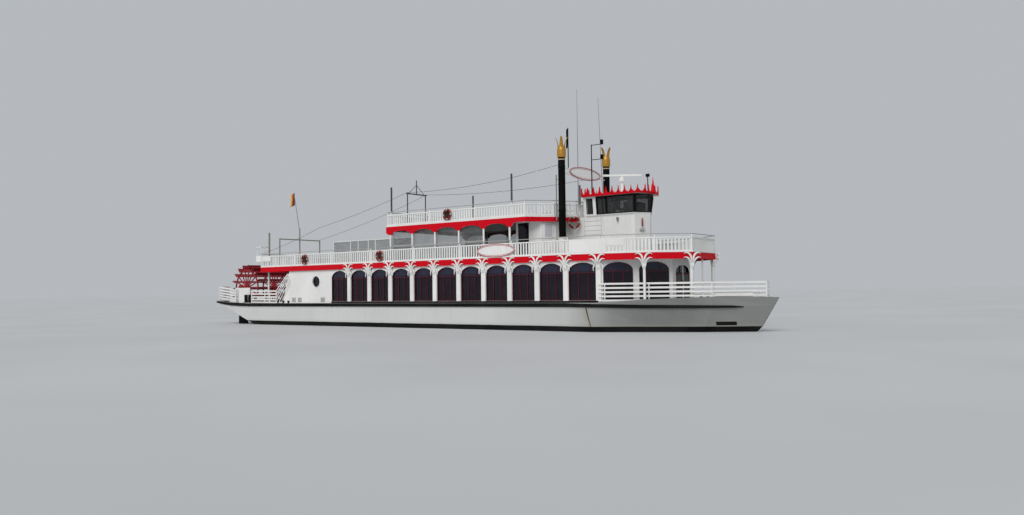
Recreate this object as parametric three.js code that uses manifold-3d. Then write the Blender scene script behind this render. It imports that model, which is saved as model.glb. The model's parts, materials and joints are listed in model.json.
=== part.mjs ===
// Stern-wheel river passenger boat, built at half of full size.
// Every size below is in metres of the full-size boat, measured from window column zero (x, forward),
// the centreline (y, to port) and the waterline (z, up). The last step moves the origin to the keel
// bottom amidships and scales to millimetres of the half-size model.
import * as THREE from 'three';
import { mergeVertices } from 'three/addons/utils/BufferGeometryUtils.js';
import Module from 'manifold-3d';

const wasm = await Module();
wasm.setup();

// Scale and origin
const MODEL_MM_PER_METRE = 500;
const AMIDSHIPS_X = 6.71;
const DRAFT = 1.2;
const GAP = 0.0008;
const PIN_GAP = 0.001;

// Hull
const STERN_X = -15.42;
const BEAM_HALF = 4.03;
const DECK_Z = 1.62;
const BOOT_TOP_Z = 0.3;
const STRAKE_Z0 = 1.39;
const STRAKE_OUT = 0.07;
const STRAKE_END_X = 27.2;
const NOTCH_FRONT_X = -11.45;
const NOTCH_HALF = 3.0;
const BULWARK_T = 0.09;
const WELL_START_X = 19.8;
const WELL_MID_X = 22.7;
const WELL_MID_SHEER = 1.8;
const RAIL_PITCH = 4.2;

// Paddle wheel
const WHEEL_X = -13.55;
const WHEEL_Z = 2.8;
const WHEEL_R = 1.86;
const WHEEL_RING_Y = [-2.6, 0, 2.6];
const WHEEL_BOARDS = 18;
const WHEEL_BOARD_DEPTH = 0.34;
const WHEEL_RIM_R = 1.5;
const SPOKE_HALF = 0.038;
const WHEEL_SHAFT_R = 0.11;
const BEARING_Y = 3.14;
const BEARING_T = 0.2;

// Screws and rudders
const SCREW_Y = 3.4;
const SCREW_X = -11.75;
const SCREW_Z = -0.46;
const RUDDER_X = -12.75;
const RUDDER_STOCK_R = 0.06;

// Main deck saloon
const BAY = 2.0;
const HOUSE_HALF = 3.95;
const HOUSE_AFT_X = -6.4;
const HOUSE_EDGE_X = [-7.3, -6.45];
const HOUSE_SIDE_FRONT_X = 20.1;
const HOUSE_BEND_X = 18.3;
const HOUSE_CORNER_Y = 3.66;
const HOUSE_FRONT_X = 23.32;
const HOUSE_FRONT_HALF = 1.25;
const HOUSE_WALL = 0.1;
const COLUMN_W = 0.32;
const COLUMN_OUT = 0.06;
const WINDOW_SILL_Z = 1.74;
const ARCH_SPRING_Z = 3.35;
const ARCH_TOP_Z = 3.9;
const PORTHOLE_X = -3.52;
const PORTHOLE_Z = 3.16;
const PORTHOLE_R = 0.42;

// Upper deck
const UPPER_Z = 4.34;
const UPPER_FASCIA_Z = 3.98;
const UPPER_PLATE = 0.12;
const UPPER_AFT_X = -9.8;
const UPPER_HALF = 4.06;
const UPPER_FRONT_X = 24.66;
const UPPER_FRONT_HALF = 1.5;
const FASCIA_T = 0.05;

// Sun deck
const SUN_Z = 6.76;
const SUN_PLATE = 0.12;
const SUN_AFT_X = 3.63;
const SUN_HALF = 3.96;
const VALANCE_LOW_Z = 6.16;
const VALANCE_ARCH_Z = 6.42;
const SUN_POST_X = [4, 6, 8, 10, 12, 14];
const SUN_POST_R = 0.065;
const SUN_POLE_TOP = 9.36;
const SUN_POLE_R = 0.06;

// Cabin, wheelhouse and roof
const CABIN_AFT_X = 13.8;
const CABIN_HALF = 3.0;
const CABIN_FRONT_X = 16.25;
const TRUNK_HALF = 1.0;
const TRUNK_SHOULDER_X = 20.85;
const TRUNK_FRONT_X = 21.36;
const TRUNK_FRONT_HALF = 0.08;
const CABIN_WALL = 0.08;
const CABIN_TOP_Z = 6.7;
const WHEELHOUSE_AFT_X = 17.46;
const WHEELHOUSE_TOP_Z = 7.88;
const WHEELHOUSE_LEAN = 0.12;
const WHEELHOUSE_WALL = 0.07;
const WINDOW_BAND_X = 18.37;
const WINDOW_BAND_Z = [6.86, 7.78];
const ROOF_HALF = 1.3;
const ROOF_FRONT_HALF = 0.8;
const ROOF_X0 = 17.41;
const ROOF_SHOULDER_X = 21.24;
const ROOF_X1 = 21.49;
const ROOF_Z1 = 8.12;
const SPIKE_Z = 8.42;
const TALL_SPIKE_Z = 8.84;
const SPIKE_PITCH = 0.42;

// Life rings
const RING_X = { quarter: -4.59, waist: 3.14, sunDeck: 9.09 };
const RING_SEAT = 0.0666 + 0.0008;

// Funnels
const FUNNEL_X = 16.9;
const FUNNEL_Y = 2.57;
const FUNNEL_R = 0.21;
const FUNNEL_FOOT_Z = 5.45;
const CROWN_FOOT_Z = 10.1;
const CROWN_CUP_Z = 10.6;
const PETAL_FOOT_Z = 10.84;
const PETALS = 4;

// Furniture of the saloon
const TABLE_X0 = -4.6;
const TABLE_COUNT = 8;
const TABLE_PITCH = 2.9;

const white = 0xe9e9e4;
const red = 0xc4122e;
const black = 0x1b1b1d;
const palette = {
  white: { color: white, roughness: 0.5 },
  hull: { color: 0xdcdcd6, roughness: 0.5 },
  red: { color: red, roughness: 0.5 },
  wheelRed: { color: 0x8e1420, roughness: 0.6 },
  black: { color: black, roughness: 0.5 },
  gold: { color: 0xb8892e, roughness: 0.4 },
  glass: { color: 0x20262b, roughness: 0.1 },
  steel: { color: 0x6f7376, roughness: 0.4, metalness: 0.8 },
  wood: { color: 0x8a5a35, roughness: 0.6 },
  cloth: { color: 0xb51d25, roughness: 0.9 },
};

// Turn a geometry into a solid that can be joined and cut
function solid(geometry) {
  const bare = geometry.clone();
  for (const name of Object.keys(bare.attributes)) {
    if (name !== 'position') bare.deleteAttribute(name);
  }
  const merged = mergeVertices(bare, 1e-5);
  const vertProperties = new Float32Array(merged.attributes.position.array);
  const triVerts = new Uint32Array(merged.index.array);
  return new wasm.Manifold(new wasm.Mesh({ numProp: 3, vertProperties, triVerts }));
}

function fuse(parts) {
  let total = parts[0];
  for (const part of parts.slice(1)) total = total.add(part);
  return total;
}

function cut(body, tools) {
  let left = body;
  for (const tool of tools) left = left.subtract(tool);
  return left;
}

function box(x0, x1, y0, y1, z0, z1) {
  const geometry = new THREE.BoxGeometry(x1 - x0, y1 - y0, z1 - z0);
  geometry.translate((x0 + x1) / 2, (y0 + y1) / 2, (z0 + z1) / 2);
  return solid(geometry);
}

function outline(points, holes = []) {
  const shape = new THREE.Shape(points.map(([u, v]) => new THREE.Vector2(u, v)));
  for (const hole of holes) {
    shape.holes.push(new THREE.Path(hole.map(([u, v]) => new THREE.Vector2(u, v))));
  }
  return shape;
}

// Flat outline in plan, raised from z0 to z1
function slab(points, z0, z1, holes = []) {
  const geometry = new THREE.ExtrudeGeometry(outline(points, holes), {
    depth: z1 - z0,
    bevelEnabled: false,
  });
  geometry.translate(0, 0, z0);
  return solid(geometry);
}

// Outline in side view, spread from y0 to y1
function sidePlate(points, y0, y1, holes = []) {
  const geometry = new THREE.ExtrudeGeometry(outline(points, holes), {
    depth: y1 - y0,
    bevelEnabled: false,
  });
  geometry.rotateX(Math.PI / 2);
  geometry.translate(0, y1, 0);
  return solid(geometry);
}

// Outline seen from ahead (y, z), spread from x0 to x1
function crossPlate(points, x0, x1, holes = []) {
  const geometry = new THREE.ExtrudeGeometry(outline(points, holes), {
    depth: x1 - x0,
    bevelEnabled: false,
  });
  geometry.applyMatrix4(new THREE.Matrix4().set(0, 0, 1, 0, 1, 0, 0, 0, 0, 1, 0, 0, 0, 0, 0, 1));
  geometry.translate(x0, 0, 0);
  return solid(geometry);
}

function rod(from, to, radius, sides = 8, radiusTop = radius) {
  const a = new THREE.Vector3(...from);
  const b = new THREE.Vector3(...to);
  const geometry = new THREE.CylinderGeometry(radiusTop, radius, a.distanceTo(b), sides);
  geometry.translate(0, a.distanceTo(b) / 2, 0);
  const turn = new THREE.Quaternion().setFromUnitVectors(
    new THREE.Vector3(0, 1, 0),
    b.clone().sub(a).normalize(),
  );
  geometry.applyQuaternion(turn);
  geometry.translate(a.x, a.y, a.z);
  return solid(geometry);
}

function lathe(profile, sides, x, y) {
  const geometry = new THREE.LatheGeometry(profile.map(([r, z]) => new THREE.Vector2(r, z)), sides);
  geometry.rotateX(Math.PI / 2);
  geometry.translate(x, y, 0);
  return solid(flippedIfInside(geometry));
}

function flippedIfInside(geometry) {
  const position = geometry.attributes.position;
  const index = geometry.index.array;
  let volume = 0;
  const a = new THREE.Vector3();
  const b = new THREE.Vector3();
  const c = new THREE.Vector3();
  for (let i = 0; i < index.length; i += 3) {
    a.fromBufferAttribute(position, index[i]);
    b.fromBufferAttribute(position, index[i + 1]);
    c.fromBufferAttribute(position, index[i + 2]);
    volume += a.dot(b.cross(c));
  }
  if (volume < 0) {
    for (let i = 0; i < index.length; i += 3) {
      const swap = index[i + 1];
      index[i + 1] = index[i + 2];
      index[i + 2] = swap;
    }
  }
  return geometry;
}

// Closed skin through rings of points that all have the same count
function loft(rings) {
  const count = rings[0].length;
  const position = rings.flat(2);
  const index = [];
  for (let i = 0; i + 1 < rings.length; i += 1) {
    for (let j = 0; j < count; j += 1) {
      const a = i * count + j;
      const b = i * count + ((j + 1) % count);
      index.push(a, b, a + count, b, b + count, a + count);
    }
  }
  const last = (rings.length - 1) * count;
  for (let j = 1; j + 1 < count; j += 1) {
    index.push(0, j + 1, j, last, last + j, last + j + 1);
  }
  const geometry = new THREE.BufferGeometry();
  geometry.setAttribute('position', new THREE.Float32BufferAttribute(position, 3));
  geometry.setIndex(index);
  return solid(flippedIfInside(geometry));
}

function interpolate(table, x) {
  if (x <= table[0][0]) return table[0][1];
  for (let i = 0; i + 1 < table.length; i += 1) {
    const [x0, y0] = table[i];
    const [x1, y1] = table[i + 1];
    if (x <= x1) return y0 + ((y1 - y0) * (x - x0)) / (x1 - x0);
  }
  return table[table.length - 1][1];
}

// Line moved sideways by a distance, to the left of its run, with mitred corners
function offset(path, distance, closed = false) {
  const count = path.length;
  return path.map((point, i) => {
    const before = path[closed ? (i + count - 1) % count : Math.max(i - 1, 0)];
    const after = path[closed ? (i + 1) % count : Math.min(i + 1, count - 1)];
    const normal = ([x0, y0], [x1, y1]) => {
      const length = Math.hypot(x1 - x0, y1 - y0);
      return length === 0 ? null : [-(y1 - y0) / length, (x1 - x0) / length];
    };
    const first = normal(before, point) ?? normal(point, after);
    const second = normal(point, after) ?? first;
    const sum = [first[0] + second[0], first[1] + second[1]];
    const scale = (2 * distance) / (sum[0] ** 2 + sum[1] ** 2);
    return [point[0] + sum[0] * scale, point[1] + sum[1] * scale];
  });
}

// Upright strip along a plan line, t wide to the left of its run
function strip(path, t, z0, z1, closed = false) {
  const far = offset(path, t, closed);
  if (closed) return slab(path, z0, z1, [far]);
  return slab([...path, ...far.reverse()], z0, z1);
}

function mirrored(points) {
  return points.map(([x, y]) => [x, -y]);
}

// Points along a line at even steps no longer than the pitch
function stepsAlong(path, pitch, closed = false) {
  const line = closed ? [...path, path[0]] : path;
  const found = [];
  for (let i = 0; i + 1 < line.length; i += 1) {
    const [x0, y0] = line[i];
    const [x1, y1] = line[i + 1];
    const length = Math.hypot(x1 - x0, y1 - y0);
    const steps = Math.max(1, Math.round(length / pitch));
    for (let k = 0; k < steps; k += 1) {
      found.push([x0 + ((x1 - x0) * k) / steps, y0 + ((y1 - y0) * k) / steps]);
    }
  }
  if (!closed) found.push(line[line.length - 1]);
  return found;
}

// Fence of level bars carried on posts; bars are rows of z0, z1, thickness
function fence(path, bars, postTop, postFoot, pitch, closed, half = 0.03) {
  const parts = bars.map(([z0, z1, t]) => {
    const shifted = offset(path, -t / 2, closed);
    return strip(shifted, t, z0, z1, closed);
  });
  for (const [x, y] of stepsAlong(path, pitch, closed)) {
    parts.push(box(x - half, x + half, y - half, y + half, postFoot, postTop));
  }
  return fuse(parts);
}

function arch(x0, x1, sill, spring, top, steps = 6) {
  const middle = (x0 + x1) / 2;
  const half = (x1 - x0) / 2;
  const points = [[x0, sill], [x1, sill]];
  for (let i = 0; i <= steps; i += 1) {
    const angle = (Math.PI * i) / steps;
    points.push([middle + half * Math.cos(angle), spring + (top - spring) * Math.sin(angle)]);
  }
  return points;
}

function ellipse(cu, cv, ru, rv, steps) {
  const points = [];
  for (let i = 0; i < steps; i += 1) {
    const angle = (2 * Math.PI * i) / steps;
    points.push([cu + ru * Math.cos(angle), cv + rv * Math.sin(angle)]);
  }
  return points;
}

const group = new THREE.Group();
group.name = 'paddle_steamer';

// Place a finished solid in the part, moved and scaled to the half-size model
function place(name, body, look, at = [0, 0, 0]) {
  const mesh = body.getMesh();
  const geometry = new THREE.BufferGeometry();
  const count = mesh.vertProperties.length / mesh.numProp;
  const position = new Float32Array(count * 3);
  for (let i = 0; i < count; i += 1) {
    position[3 * i] = mesh.vertProperties[mesh.numProp * i];
    position[3 * i + 1] = mesh.vertProperties[mesh.numProp * i + 1];
    position[3 * i + 2] = mesh.vertProperties[mesh.numProp * i + 2];
  }
  geometry.setAttribute('position', new THREE.BufferAttribute(position, 3));
  geometry.setIndex(Array.from(mesh.triVerts));
  geometry.translate(at[0] - AMIDSHIPS_X, at[1], at[2] + DRAFT);
  geometry.scale(MODEL_MM_PER_METRE, MODEL_MM_PER_METRE, MODEL_MM_PER_METRE);
  geometry.computeVertexNormals();
  const material = new THREE.MeshStandardMaterial(palette[look]);
  const part = new THREE.Mesh(geometry, material);
  part.name = name;
  group.add(part);
}

// Hull lines: rows of x and half breadth at each level, from stern to stem
const bottomLine = [[-15.42, 3.7], [-11, 3.5], [19.2, 3.5], [22.5, 2.05], [24.4, 1.05], [25.6, 0.05]];
const bilgeLine = [[-15.42, 3.95], [-11, 3.93], [19.5, 3.93], [22.6, 2.62], [25.1, 1.45], [26.7, 0.05]];
const bootLine = [[-15.42, 4.0], [-11, 4.03], [19.75, 4.03], [22.66, 2.77], [25.4, 1.65], [27.9, 0.05]];
const strakeLine = [[-15.42, 4.05], [-11, 4.05], [19.8, 4.05], [22.7, 2.9], [25.8, 1.7], [28.57, 0.05]];
const deckLine = [[-15.42, 4.05], [-11, 4.05], [19.8, 4.05], [22.7, 2.92], [25.9, 1.74], [28.84, 0.05]];
const undersideLine = [
  [-15.42, 1.6], [-13.5, 0.98], [-11.93, 0.4], [-11.47, 0.22], [-10.6, -0.35], [-9.4, -0.95],
  [-8.2, -DRAFT], [25.6, -DRAFT],
];
const sheerLine = [
  [-15.42, 1.83], [-14.5, 1.75], [-13.5, 1.69], [-12.5, 1.65], [-11.2, DECK_Z], [19.8, DECK_Z],
  [WELL_MID_X, WELL_MID_SHEER], [25.9, 1.9], [28.84, 1.84],
];

// Sections of the hull, each read at its own place along the five lines
function hullSection(xs) {
  const [xBottom, xBilge, xBoot, xStrake, xDeck] = xs;
  const under = interpolate(undersideLine, xBottom);
  const sheer = interpolate(sheerLine, xDeck);
  const strakeZ = Math.max(STRAKE_Z0, under + 0.09);
  const bootZ = Math.min(Math.max(BOOT_TOP_Z, under + 0.06), strakeZ - 0.02);
  const bilgeZ = Math.min(under + 0.33, bootZ - 0.02);
  const side = [
    [xDeck, interpolate(deckLine, xDeck), sheer],
    [xStrake, interpolate(strakeLine, xStrake), strakeZ],
    [xBoot, interpolate(bootLine, xBoot), bootZ],
    [xBilge, interpolate(bilgeLine, xBilge), bilgeZ],
    [xBottom, interpolate(bottomLine, xBottom), under],
  ];
  const other = side.map(([x, y, z]) => [x, -y, z]).reverse();
  return [...side, ...other];
}

const sectionPlaces = [
  ...[-15.42, -14.5, -13.5, -12.5, -11.93, -11.47, -10.6, -9.4, -8.2, 18.0].map((x) => [x, x, x, x, x]),
  [19.2, 19.5, 19.75, 19.8, 19.8],
  [22.5, 22.6, 22.66, 22.7, 22.7],
  [24.4, 25.1, 25.4, 25.8, 25.9],
  [25.6, 26.7, 27.9, 28.57, 28.84],
];

// Black rubbing strake along each side: it rises with the sheer at the stern and drops and thins forward
const strakeLow = [
  [-15.42, 1.67], [-14.5, 1.54], [-13.5, 1.45], [-12.5, 1.41], [-11.2, 1.39], [18, 1.39], [19.8, 1.37],
  [22.25, 1.31], [24.75, 1.296], [26.7, 1.3], [STRAKE_END_X, 1.32],
];
const strakeHigh = [
  [-15.42, 1.81], [-14.5, 1.74], [-13.5, 1.68], [-12.5, 1.65], [-11.2, 1.61], [18, 1.61], [19.8, 1.56],
  [22.25, 1.49], [24.75, 1.456], [26.7, 1.42], [STRAKE_END_X, 1.37],
];
function strakeSide(sign) {
  const xs = [...strakeLow.map(([x]) => x), 22.7, 25.8].sort((a, b) => a - b);
  return loft(xs.map((x) => {
    const y = interpolate(strakeLine, x);
    const out = x >= STRAKE_END_X ? 0.012 : STRAKE_OUT;
    const z0 = interpolate(strakeLow, x);
    const z1 = interpolate(strakeHigh, x);
    return [
      [x, sign * (y - 0.06), z0],
      [x, sign * (y + out), z0],
      [x, sign * (y + out), z1],
      [x, sign * (y - 0.06), z1],
    ];
  }));
}

const bowWellHalf = [
  [WELL_START_X, BEAM_HALF - BULWARK_T], [22.66, 2.92 - BULWARK_T], [25.84, 1.74 - BULWARK_T], [28.45, 0.14],
];
const bowWell = [...mirrored(bowWellHalf), ...[...bowWellHalf].reverse()];

const notch = box(STERN_X - 1, NOTCH_FRONT_X, -NOTCH_HALF, NOTCH_HALF, -1.5, 3);
const bore = (radius, sides) => (radius + PIN_GAP) / Math.cos(Math.PI / sides);
const bossings = [-1, 1].flatMap((sign) => [
  rod([-8.6, sign * SCREW_Y, SCREW_Z], [SCREW_X + 0.22, sign * SCREW_Y, SCREW_Z], 0.14, 10, 0.1),
  rod([RUDDER_X, sign * SCREW_Y, 0.46], [RUDDER_X, sign * SCREW_Y, 1.2], 0.13, 10),
]);
const stockHoles = [-1, 1].map((sign) => rod(
  [RUDDER_X, sign * SCREW_Y, 0.4],
  [RUDDER_X, sign * SCREW_Y, 0.95],
  bore(RUDDER_STOCK_R, 24),
  24,
));
const shaftHoles = [-1, 1].map((sign) => rod(
  [SCREW_X - 0.1, sign * SCREW_Y, SCREW_Z],
  [SCREW_X + 0.75, sign * SCREW_Y, SCREW_Z],
  bore(0.045, 20),
  20,
));
// Rows of x, distance in from the side, half the distance between the two posts, radius and height
const bollardRows = [[-11.63, 0.16, 0.25, 0.13, 0.66], [25.2, 0.7, 0.2, 0.075, 0.42]];
const bollards = bollardRows.flatMap(([x, inboard, half, radius, height]) => [-1, 1].flatMap((sign) => {
  const y = sign * (interpolate(deckLine, x) - inboard);
  const end = half + radius + 0.02;
  return [
    box(x - end, x + end, y - radius - 0.02, y + radius + 0.02, DECK_Z - 0.1, DECK_Z + 0.08),
    ...[x - half, x + half].map((at) => rod([at, y, DECK_Z], [at, y, DECK_Z + height], radius, 10)),
  ];
}));
const wellCut = slab(bowWell, DECK_Z - 0.5, 3);
const armWells = [-1, 1].map((sign) => box(
  STERN_X + BULWARK_T,
  NOTCH_FRONT_X + 0.6,
  Math.min(sign * 2.5, sign * (BEAM_HALF - BULWARK_T)),
  Math.max(sign * 2.5, sign * (BEAM_HALF - BULWARK_T)),
  DECK_Z,
  3,
));
const hullShape = loft(sectionPlaces.map(hullSection));
const aboveForeDeck = box(WELL_START_X - 1, 30, -5, 5, DECK_Z, 3);
const hullBody = cut(
  fuse([hullShape, strakeSide(-1), strakeSide(1), ...bossings]),
  [notch, aboveForeDeck, ...armWells, ...stockHoles, ...shaftHoles],
);
place('hull', fuse([hullBody, ...bollards]), 'hull');

// Bulwark that rises from the deck edge round the fore deck
const bulwarkBand = box(WELL_START_X + 0.15, 30, -5, 5, DECK_Z + GAP, 3);
place('bow_bulwark', cut(hullShape.intersect(bulwarkBand), [wellCut]), 'hull');

// Rudders, each a balanced blade whose top edge runs parallel to the counter above it
for (const [side, sign] of [['starboard', -1], ['port', 1]]) {
  const blade = sidePlate(
    [[-12.42, -1.0], [-12.3, 0.24], [-12.5, 0.36], [-13.3, 0.66], [-13.42, 0.62], [-13.5, -0.98]],
    sign * SCREW_Y - 0.045,
    sign * SCREW_Y + 0.045,
  );
  const stock = rod([RUDDER_X, sign * SCREW_Y, -0.9], [RUDDER_X, sign * SCREW_Y, 0.93], RUDDER_STOCK_R, 12);
  const clear = rod([RUDDER_X, sign * SCREW_Y, 0.44], [RUDDER_X, sign * SCREW_Y, 1], 0.15, 12);
  place(`rudder_${side}`, fuse([cut(blade, [clear]), stock]), 'black');
}

// Screws, each four twisted blades on a hub with its stub of shaft
for (const [side, sign] of [['starboard', -1], ['port', 1]]) {
  const hub = rod([SCREW_X - 0.18, 0, 0], [SCREW_X + 0.19, 0, 0], 0.085, 12, 0.1);
  const shaft = rod([SCREW_X, 0, 0], [SCREW_X + 0.72, 0, 0], 0.045, 12);
  const blades = [0, 1, 2, 3].map((k) => {
    const points = [
      [0.05, -0.06], [0.22, -0.16], [0.4, -0.14], [0.46, 0], [0.38, 0.16], [0.2, 0.15], [0.05, 0.06],
    ];
    const geometry = new THREE.ExtrudeGeometry(outline(points), { depth: 0.028, bevelEnabled: false });
    geometry.translate(0, 0, -0.014);
    geometry.rotateX(0.62);
    geometry.rotateY(-Math.PI / 2);
    geometry.rotateX((Math.PI * k) / 2);
    geometry.translate(SCREW_X, 0, 0);
    return solid(geometry);
  });
  const screw = fuse([hub, shaft, ...blades]);
  place(`screw_${side}`, screw, 'gold', [0, sign * SCREW_Y, SCREW_Z]);
}

// Paddle wheel: shaft, spoked rings and long boards across them
function paddleWheel() {
  const parts = [rod([0, -BEARING_Y - 0.16, 0], [0, BEARING_Y + 0.16, 0], WHEEL_SHAFT_R, 12)];
  const turned = (r, offsetAcross, k) => {
    const angle = (2 * Math.PI * k) / WHEEL_BOARDS;
    return [
      r * Math.cos(angle) - offsetAcross * Math.sin(angle),
      r * Math.sin(angle) + offsetAcross * Math.cos(angle),
    ];
  };
  for (const y of WHEEL_RING_Y) {
    const edge = [];
    const windows = [];
    for (let k = 0; k < WHEEL_BOARDS; k += 1) {
      edge.push(turned(WHEEL_RIM_R, -SPOKE_HALF, k), turned(WHEEL_R - 0.08, -SPOKE_HALF, k));
      edge.push(turned(WHEEL_R - 0.08, SPOKE_HALF, k), turned(WHEEL_RIM_R, SPOKE_HALF, k));
      windows.push([
        turned(0.34, SPOKE_HALF, k), turned(WHEEL_RIM_R - 0.12, SPOKE_HALF, k),
        turned(WHEEL_RIM_R - 0.12, -SPOKE_HALF, k + 1), turned(0.34, -SPOKE_HALF, k + 1),
      ]);
    }
    parts.push(sidePlate(edge, y - 0.03, y + 0.03, windows));
    parts.push(rod([0, y - 0.1, 0], [0, y + 0.1, 0], 0.26, 8));
  }
  for (let k = 0; k < WHEEL_BOARDS; k += 1) {
    const board = new THREE.BoxGeometry(WHEEL_BOARD_DEPTH, 5.5, 0.05);
    board.translate(WHEEL_R - WHEEL_BOARD_DEPTH / 2, 0, 0.06);
    board.rotateY((-2 * Math.PI * k) / WHEEL_BOARDS);
    parts.push(solid(board));
  }
  return fuse(parts);
}
place('paddle_wheel', paddleWheel(), 'wheelRed', [WHEEL_X, 0, WHEEL_Z]);

// Bearing pedestals of the wheel shaft, one on each stern arm
for (const [side, sign] of [['starboard', -1], ['port', 1]]) {
  const foot = DECK_Z + GAP;
  const profile = [
    [WHEEL_X - 0.62, foot], [WHEEL_X + 0.62, foot], [WHEEL_X + 0.62, foot + 0.1],
    [WHEEL_X + 0.24, WHEEL_Z + 0.1], [WHEEL_X + 0.12, WHEEL_Z + 0.26],
    [WHEEL_X - 0.12, WHEEL_Z + 0.26], [WHEEL_X - 0.24, WHEEL_Z + 0.1], [WHEEL_X - 0.62, foot + 0.1],
  ];
  const y = sign * BEARING_Y;
  const pedestal = sidePlate(profile, y - BEARING_T / 2, y + BEARING_T / 2);
  const hole = rod([WHEEL_X, y - 1, WHEEL_Z], [WHEEL_X, y + 1, WHEEL_Z], bore(WHEEL_SHAFT_R, 24), 24);
  place(`wheel_bearing_${side}`, cut(pedestal, [hole]), 'wheelRed');
}

// Main deck saloon: hollow walls with arched openings between pilasters
const houseFoot = DECK_Z + GAP;
const houseTop = UPPER_Z - UPPER_PLATE - GAP;
const sideHouse = [
  [HOUSE_AFT_X, -HOUSE_HALF], [HOUSE_BEND_X, -HOUSE_HALF], [HOUSE_SIDE_FRONT_X, -HOUSE_CORNER_Y],
  [HOUSE_FRONT_X, -HOUSE_FRONT_HALF], [HOUSE_FRONT_X, HOUSE_FRONT_HALF],
  [HOUSE_SIDE_FRONT_X, HOUSE_CORNER_Y], [HOUSE_BEND_X, HOUSE_HALF], [HOUSE_AFT_X, HOUSE_HALF],
];
const archTools = [];
for (let k = -1; k <= 9; k += 1) {
  const x0 = k === -1 ? -1.85 : k * BAY + COLUMN_W / 2;
  const x1 = k === 9 ? HOUSE_SIDE_FRONT_X - 0.16 : (k + 1) * BAY - COLUMN_W / 2;
  archTools.push(sidePlate(arch(x0, x1, WINDOW_SILL_Z, ARCH_SPRING_Z, ARCH_TOP_Z), -5, 5));
}
archTools.push(sidePlate(ellipse(PORTHOLE_X, PORTHOLE_Z, PORTHOLE_R, PORTHOLE_R, 14), -5, 5));

// Forward side windows stand in the walls that taper towards the bow
const taperRun = HOUSE_FRONT_X - HOUSE_SIDE_FRONT_X;
const taperTurn = Math.atan2(HOUSE_CORNER_Y - HOUSE_FRONT_HALF, taperRun);
function taperTool(points, sign) {
  const plate = new THREE.ExtrudeGeometry(outline(points), { depth: 0.4, bevelEnabled: false });
  plate.rotateX(Math.PI / 2);
  plate.translate(0, 0.2, 0);
  plate.rotateZ(-sign * taperTurn);
  plate.translate(HOUSE_SIDE_FRONT_X, sign * HOUSE_CORNER_Y, 0);
  return solid(plate);
}
const TAPER_WINDOWS = [[0.14, 1.84], [2.14, 3.84]];
for (const sign of [-1, 1]) {
  for (const [s0, s1] of TAPER_WINDOWS) {
    archTools.push(taperTool(arch(s0, s1, WINDOW_SILL_Z, 3.42, ARCH_TOP_Z), sign));
  }
}
const FRONT_DOOR = { half: 0.85, top: 3.2, arch: 3.7 };
const AFT_DOOR = { half: 0.5, top: 3.66 };
for (const [x, door] of [[HOUSE_FRONT_X, FRONT_DOOR], [HOUSE_AFT_X, AFT_DOOR]]) {
  archTools.push(box(x - 0.5, x + 0.5, -door.half, door.half, houseFoot + 0.04, door.top));
}
archTools.push(crossPlate(
  arch(-FRONT_DOOR.half, FRONT_DOOR.half, FRONT_DOOR.top + 0.07, 3.32, FRONT_DOOR.arch),
  HOUSE_FRONT_X - 0.5,
  HOUSE_FRONT_X + 0.5,
));

const columnParts = [];
for (let k = 0; k <= 10; k += 1) {
  for (const sign of [-1, 1]) {
    const x = k === 10 ? HOUSE_SIDE_FRONT_X - 0.1 : k * BAY;
    const face = k === 10 ? HOUSE_CORNER_Y : HOUSE_HALF;
    const inside = sign * (face - 0.06);
    const outside = sign * (face + (k === 10 ? COLUMN_OUT : COLUMN_OUT - 0.005));
    const y0 = Math.min(inside, outside);
    const y1 = Math.max(inside, outside);
    const top = UPPER_FASCIA_Z - GAP;
    columnParts.push(box(x - COLUMN_W / 2, x + COLUMN_W / 2, y0, y1, houseFoot, top));
  }
}
// Side walls run on aft to a slanted edge
for (const sign of [-1, 1]) {
  const y0 = sign * HOUSE_HALF;
  const y1 = sign * (HOUSE_HALF - HOUSE_WALL);
  columnParts.push(sidePlate(
    [
      [HOUSE_EDGE_X[0], houseFoot], [HOUSE_AFT_X + 0.05, houseFoot],
      [HOUSE_AFT_X + 0.05, houseTop], [HOUSE_EDGE_X[1], houseTop],
    ],
    Math.min(y0, y1),
    Math.max(y0, y1),
  ));
}
const houseWalls = cut(strip(sideHouse, HOUSE_WALL, houseFoot, houseTop, true), archTools);
place('saloon_walls', fuse([houseWalls, ...columnParts]), 'white');

// Dark glazing behind the arches, one long sheet for each side, and a fanlight over the front door
const GLASS_T = 0.024;
const taperEnd = 3.9;
const glassEnd = [
  HOUSE_SIDE_FRONT_X + taperEnd * Math.cos(taperTurn),
  taperEnd * Math.sin(taperTurn) - HOUSE_CORNER_Y,
];
const glassLine = [
  [-4.2, -HOUSE_HALF], [HOUSE_BEND_X, -HOUSE_HALF], [HOUSE_SIDE_FRONT_X, -HOUSE_CORNER_Y], glassEnd,
];
for (const [side, line] of [['starboard', glassLine], ['port', mirrored(glassLine).reverse()]]) {
  const face = offset(line, HOUSE_WALL + GAP);
  place(`saloon_glass_${side}`, strip(face, GLASS_T, WINDOW_SILL_Z - 0.06, 4.0), 'glass');
}
const frontInner = HOUSE_FRONT_X - HOUSE_WALL - GAP;
place('saloon_glass_front', box(frontInner - GLASS_T, frontInner, -1.0, 1.0, 3.22, 3.8), 'glass');

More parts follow.
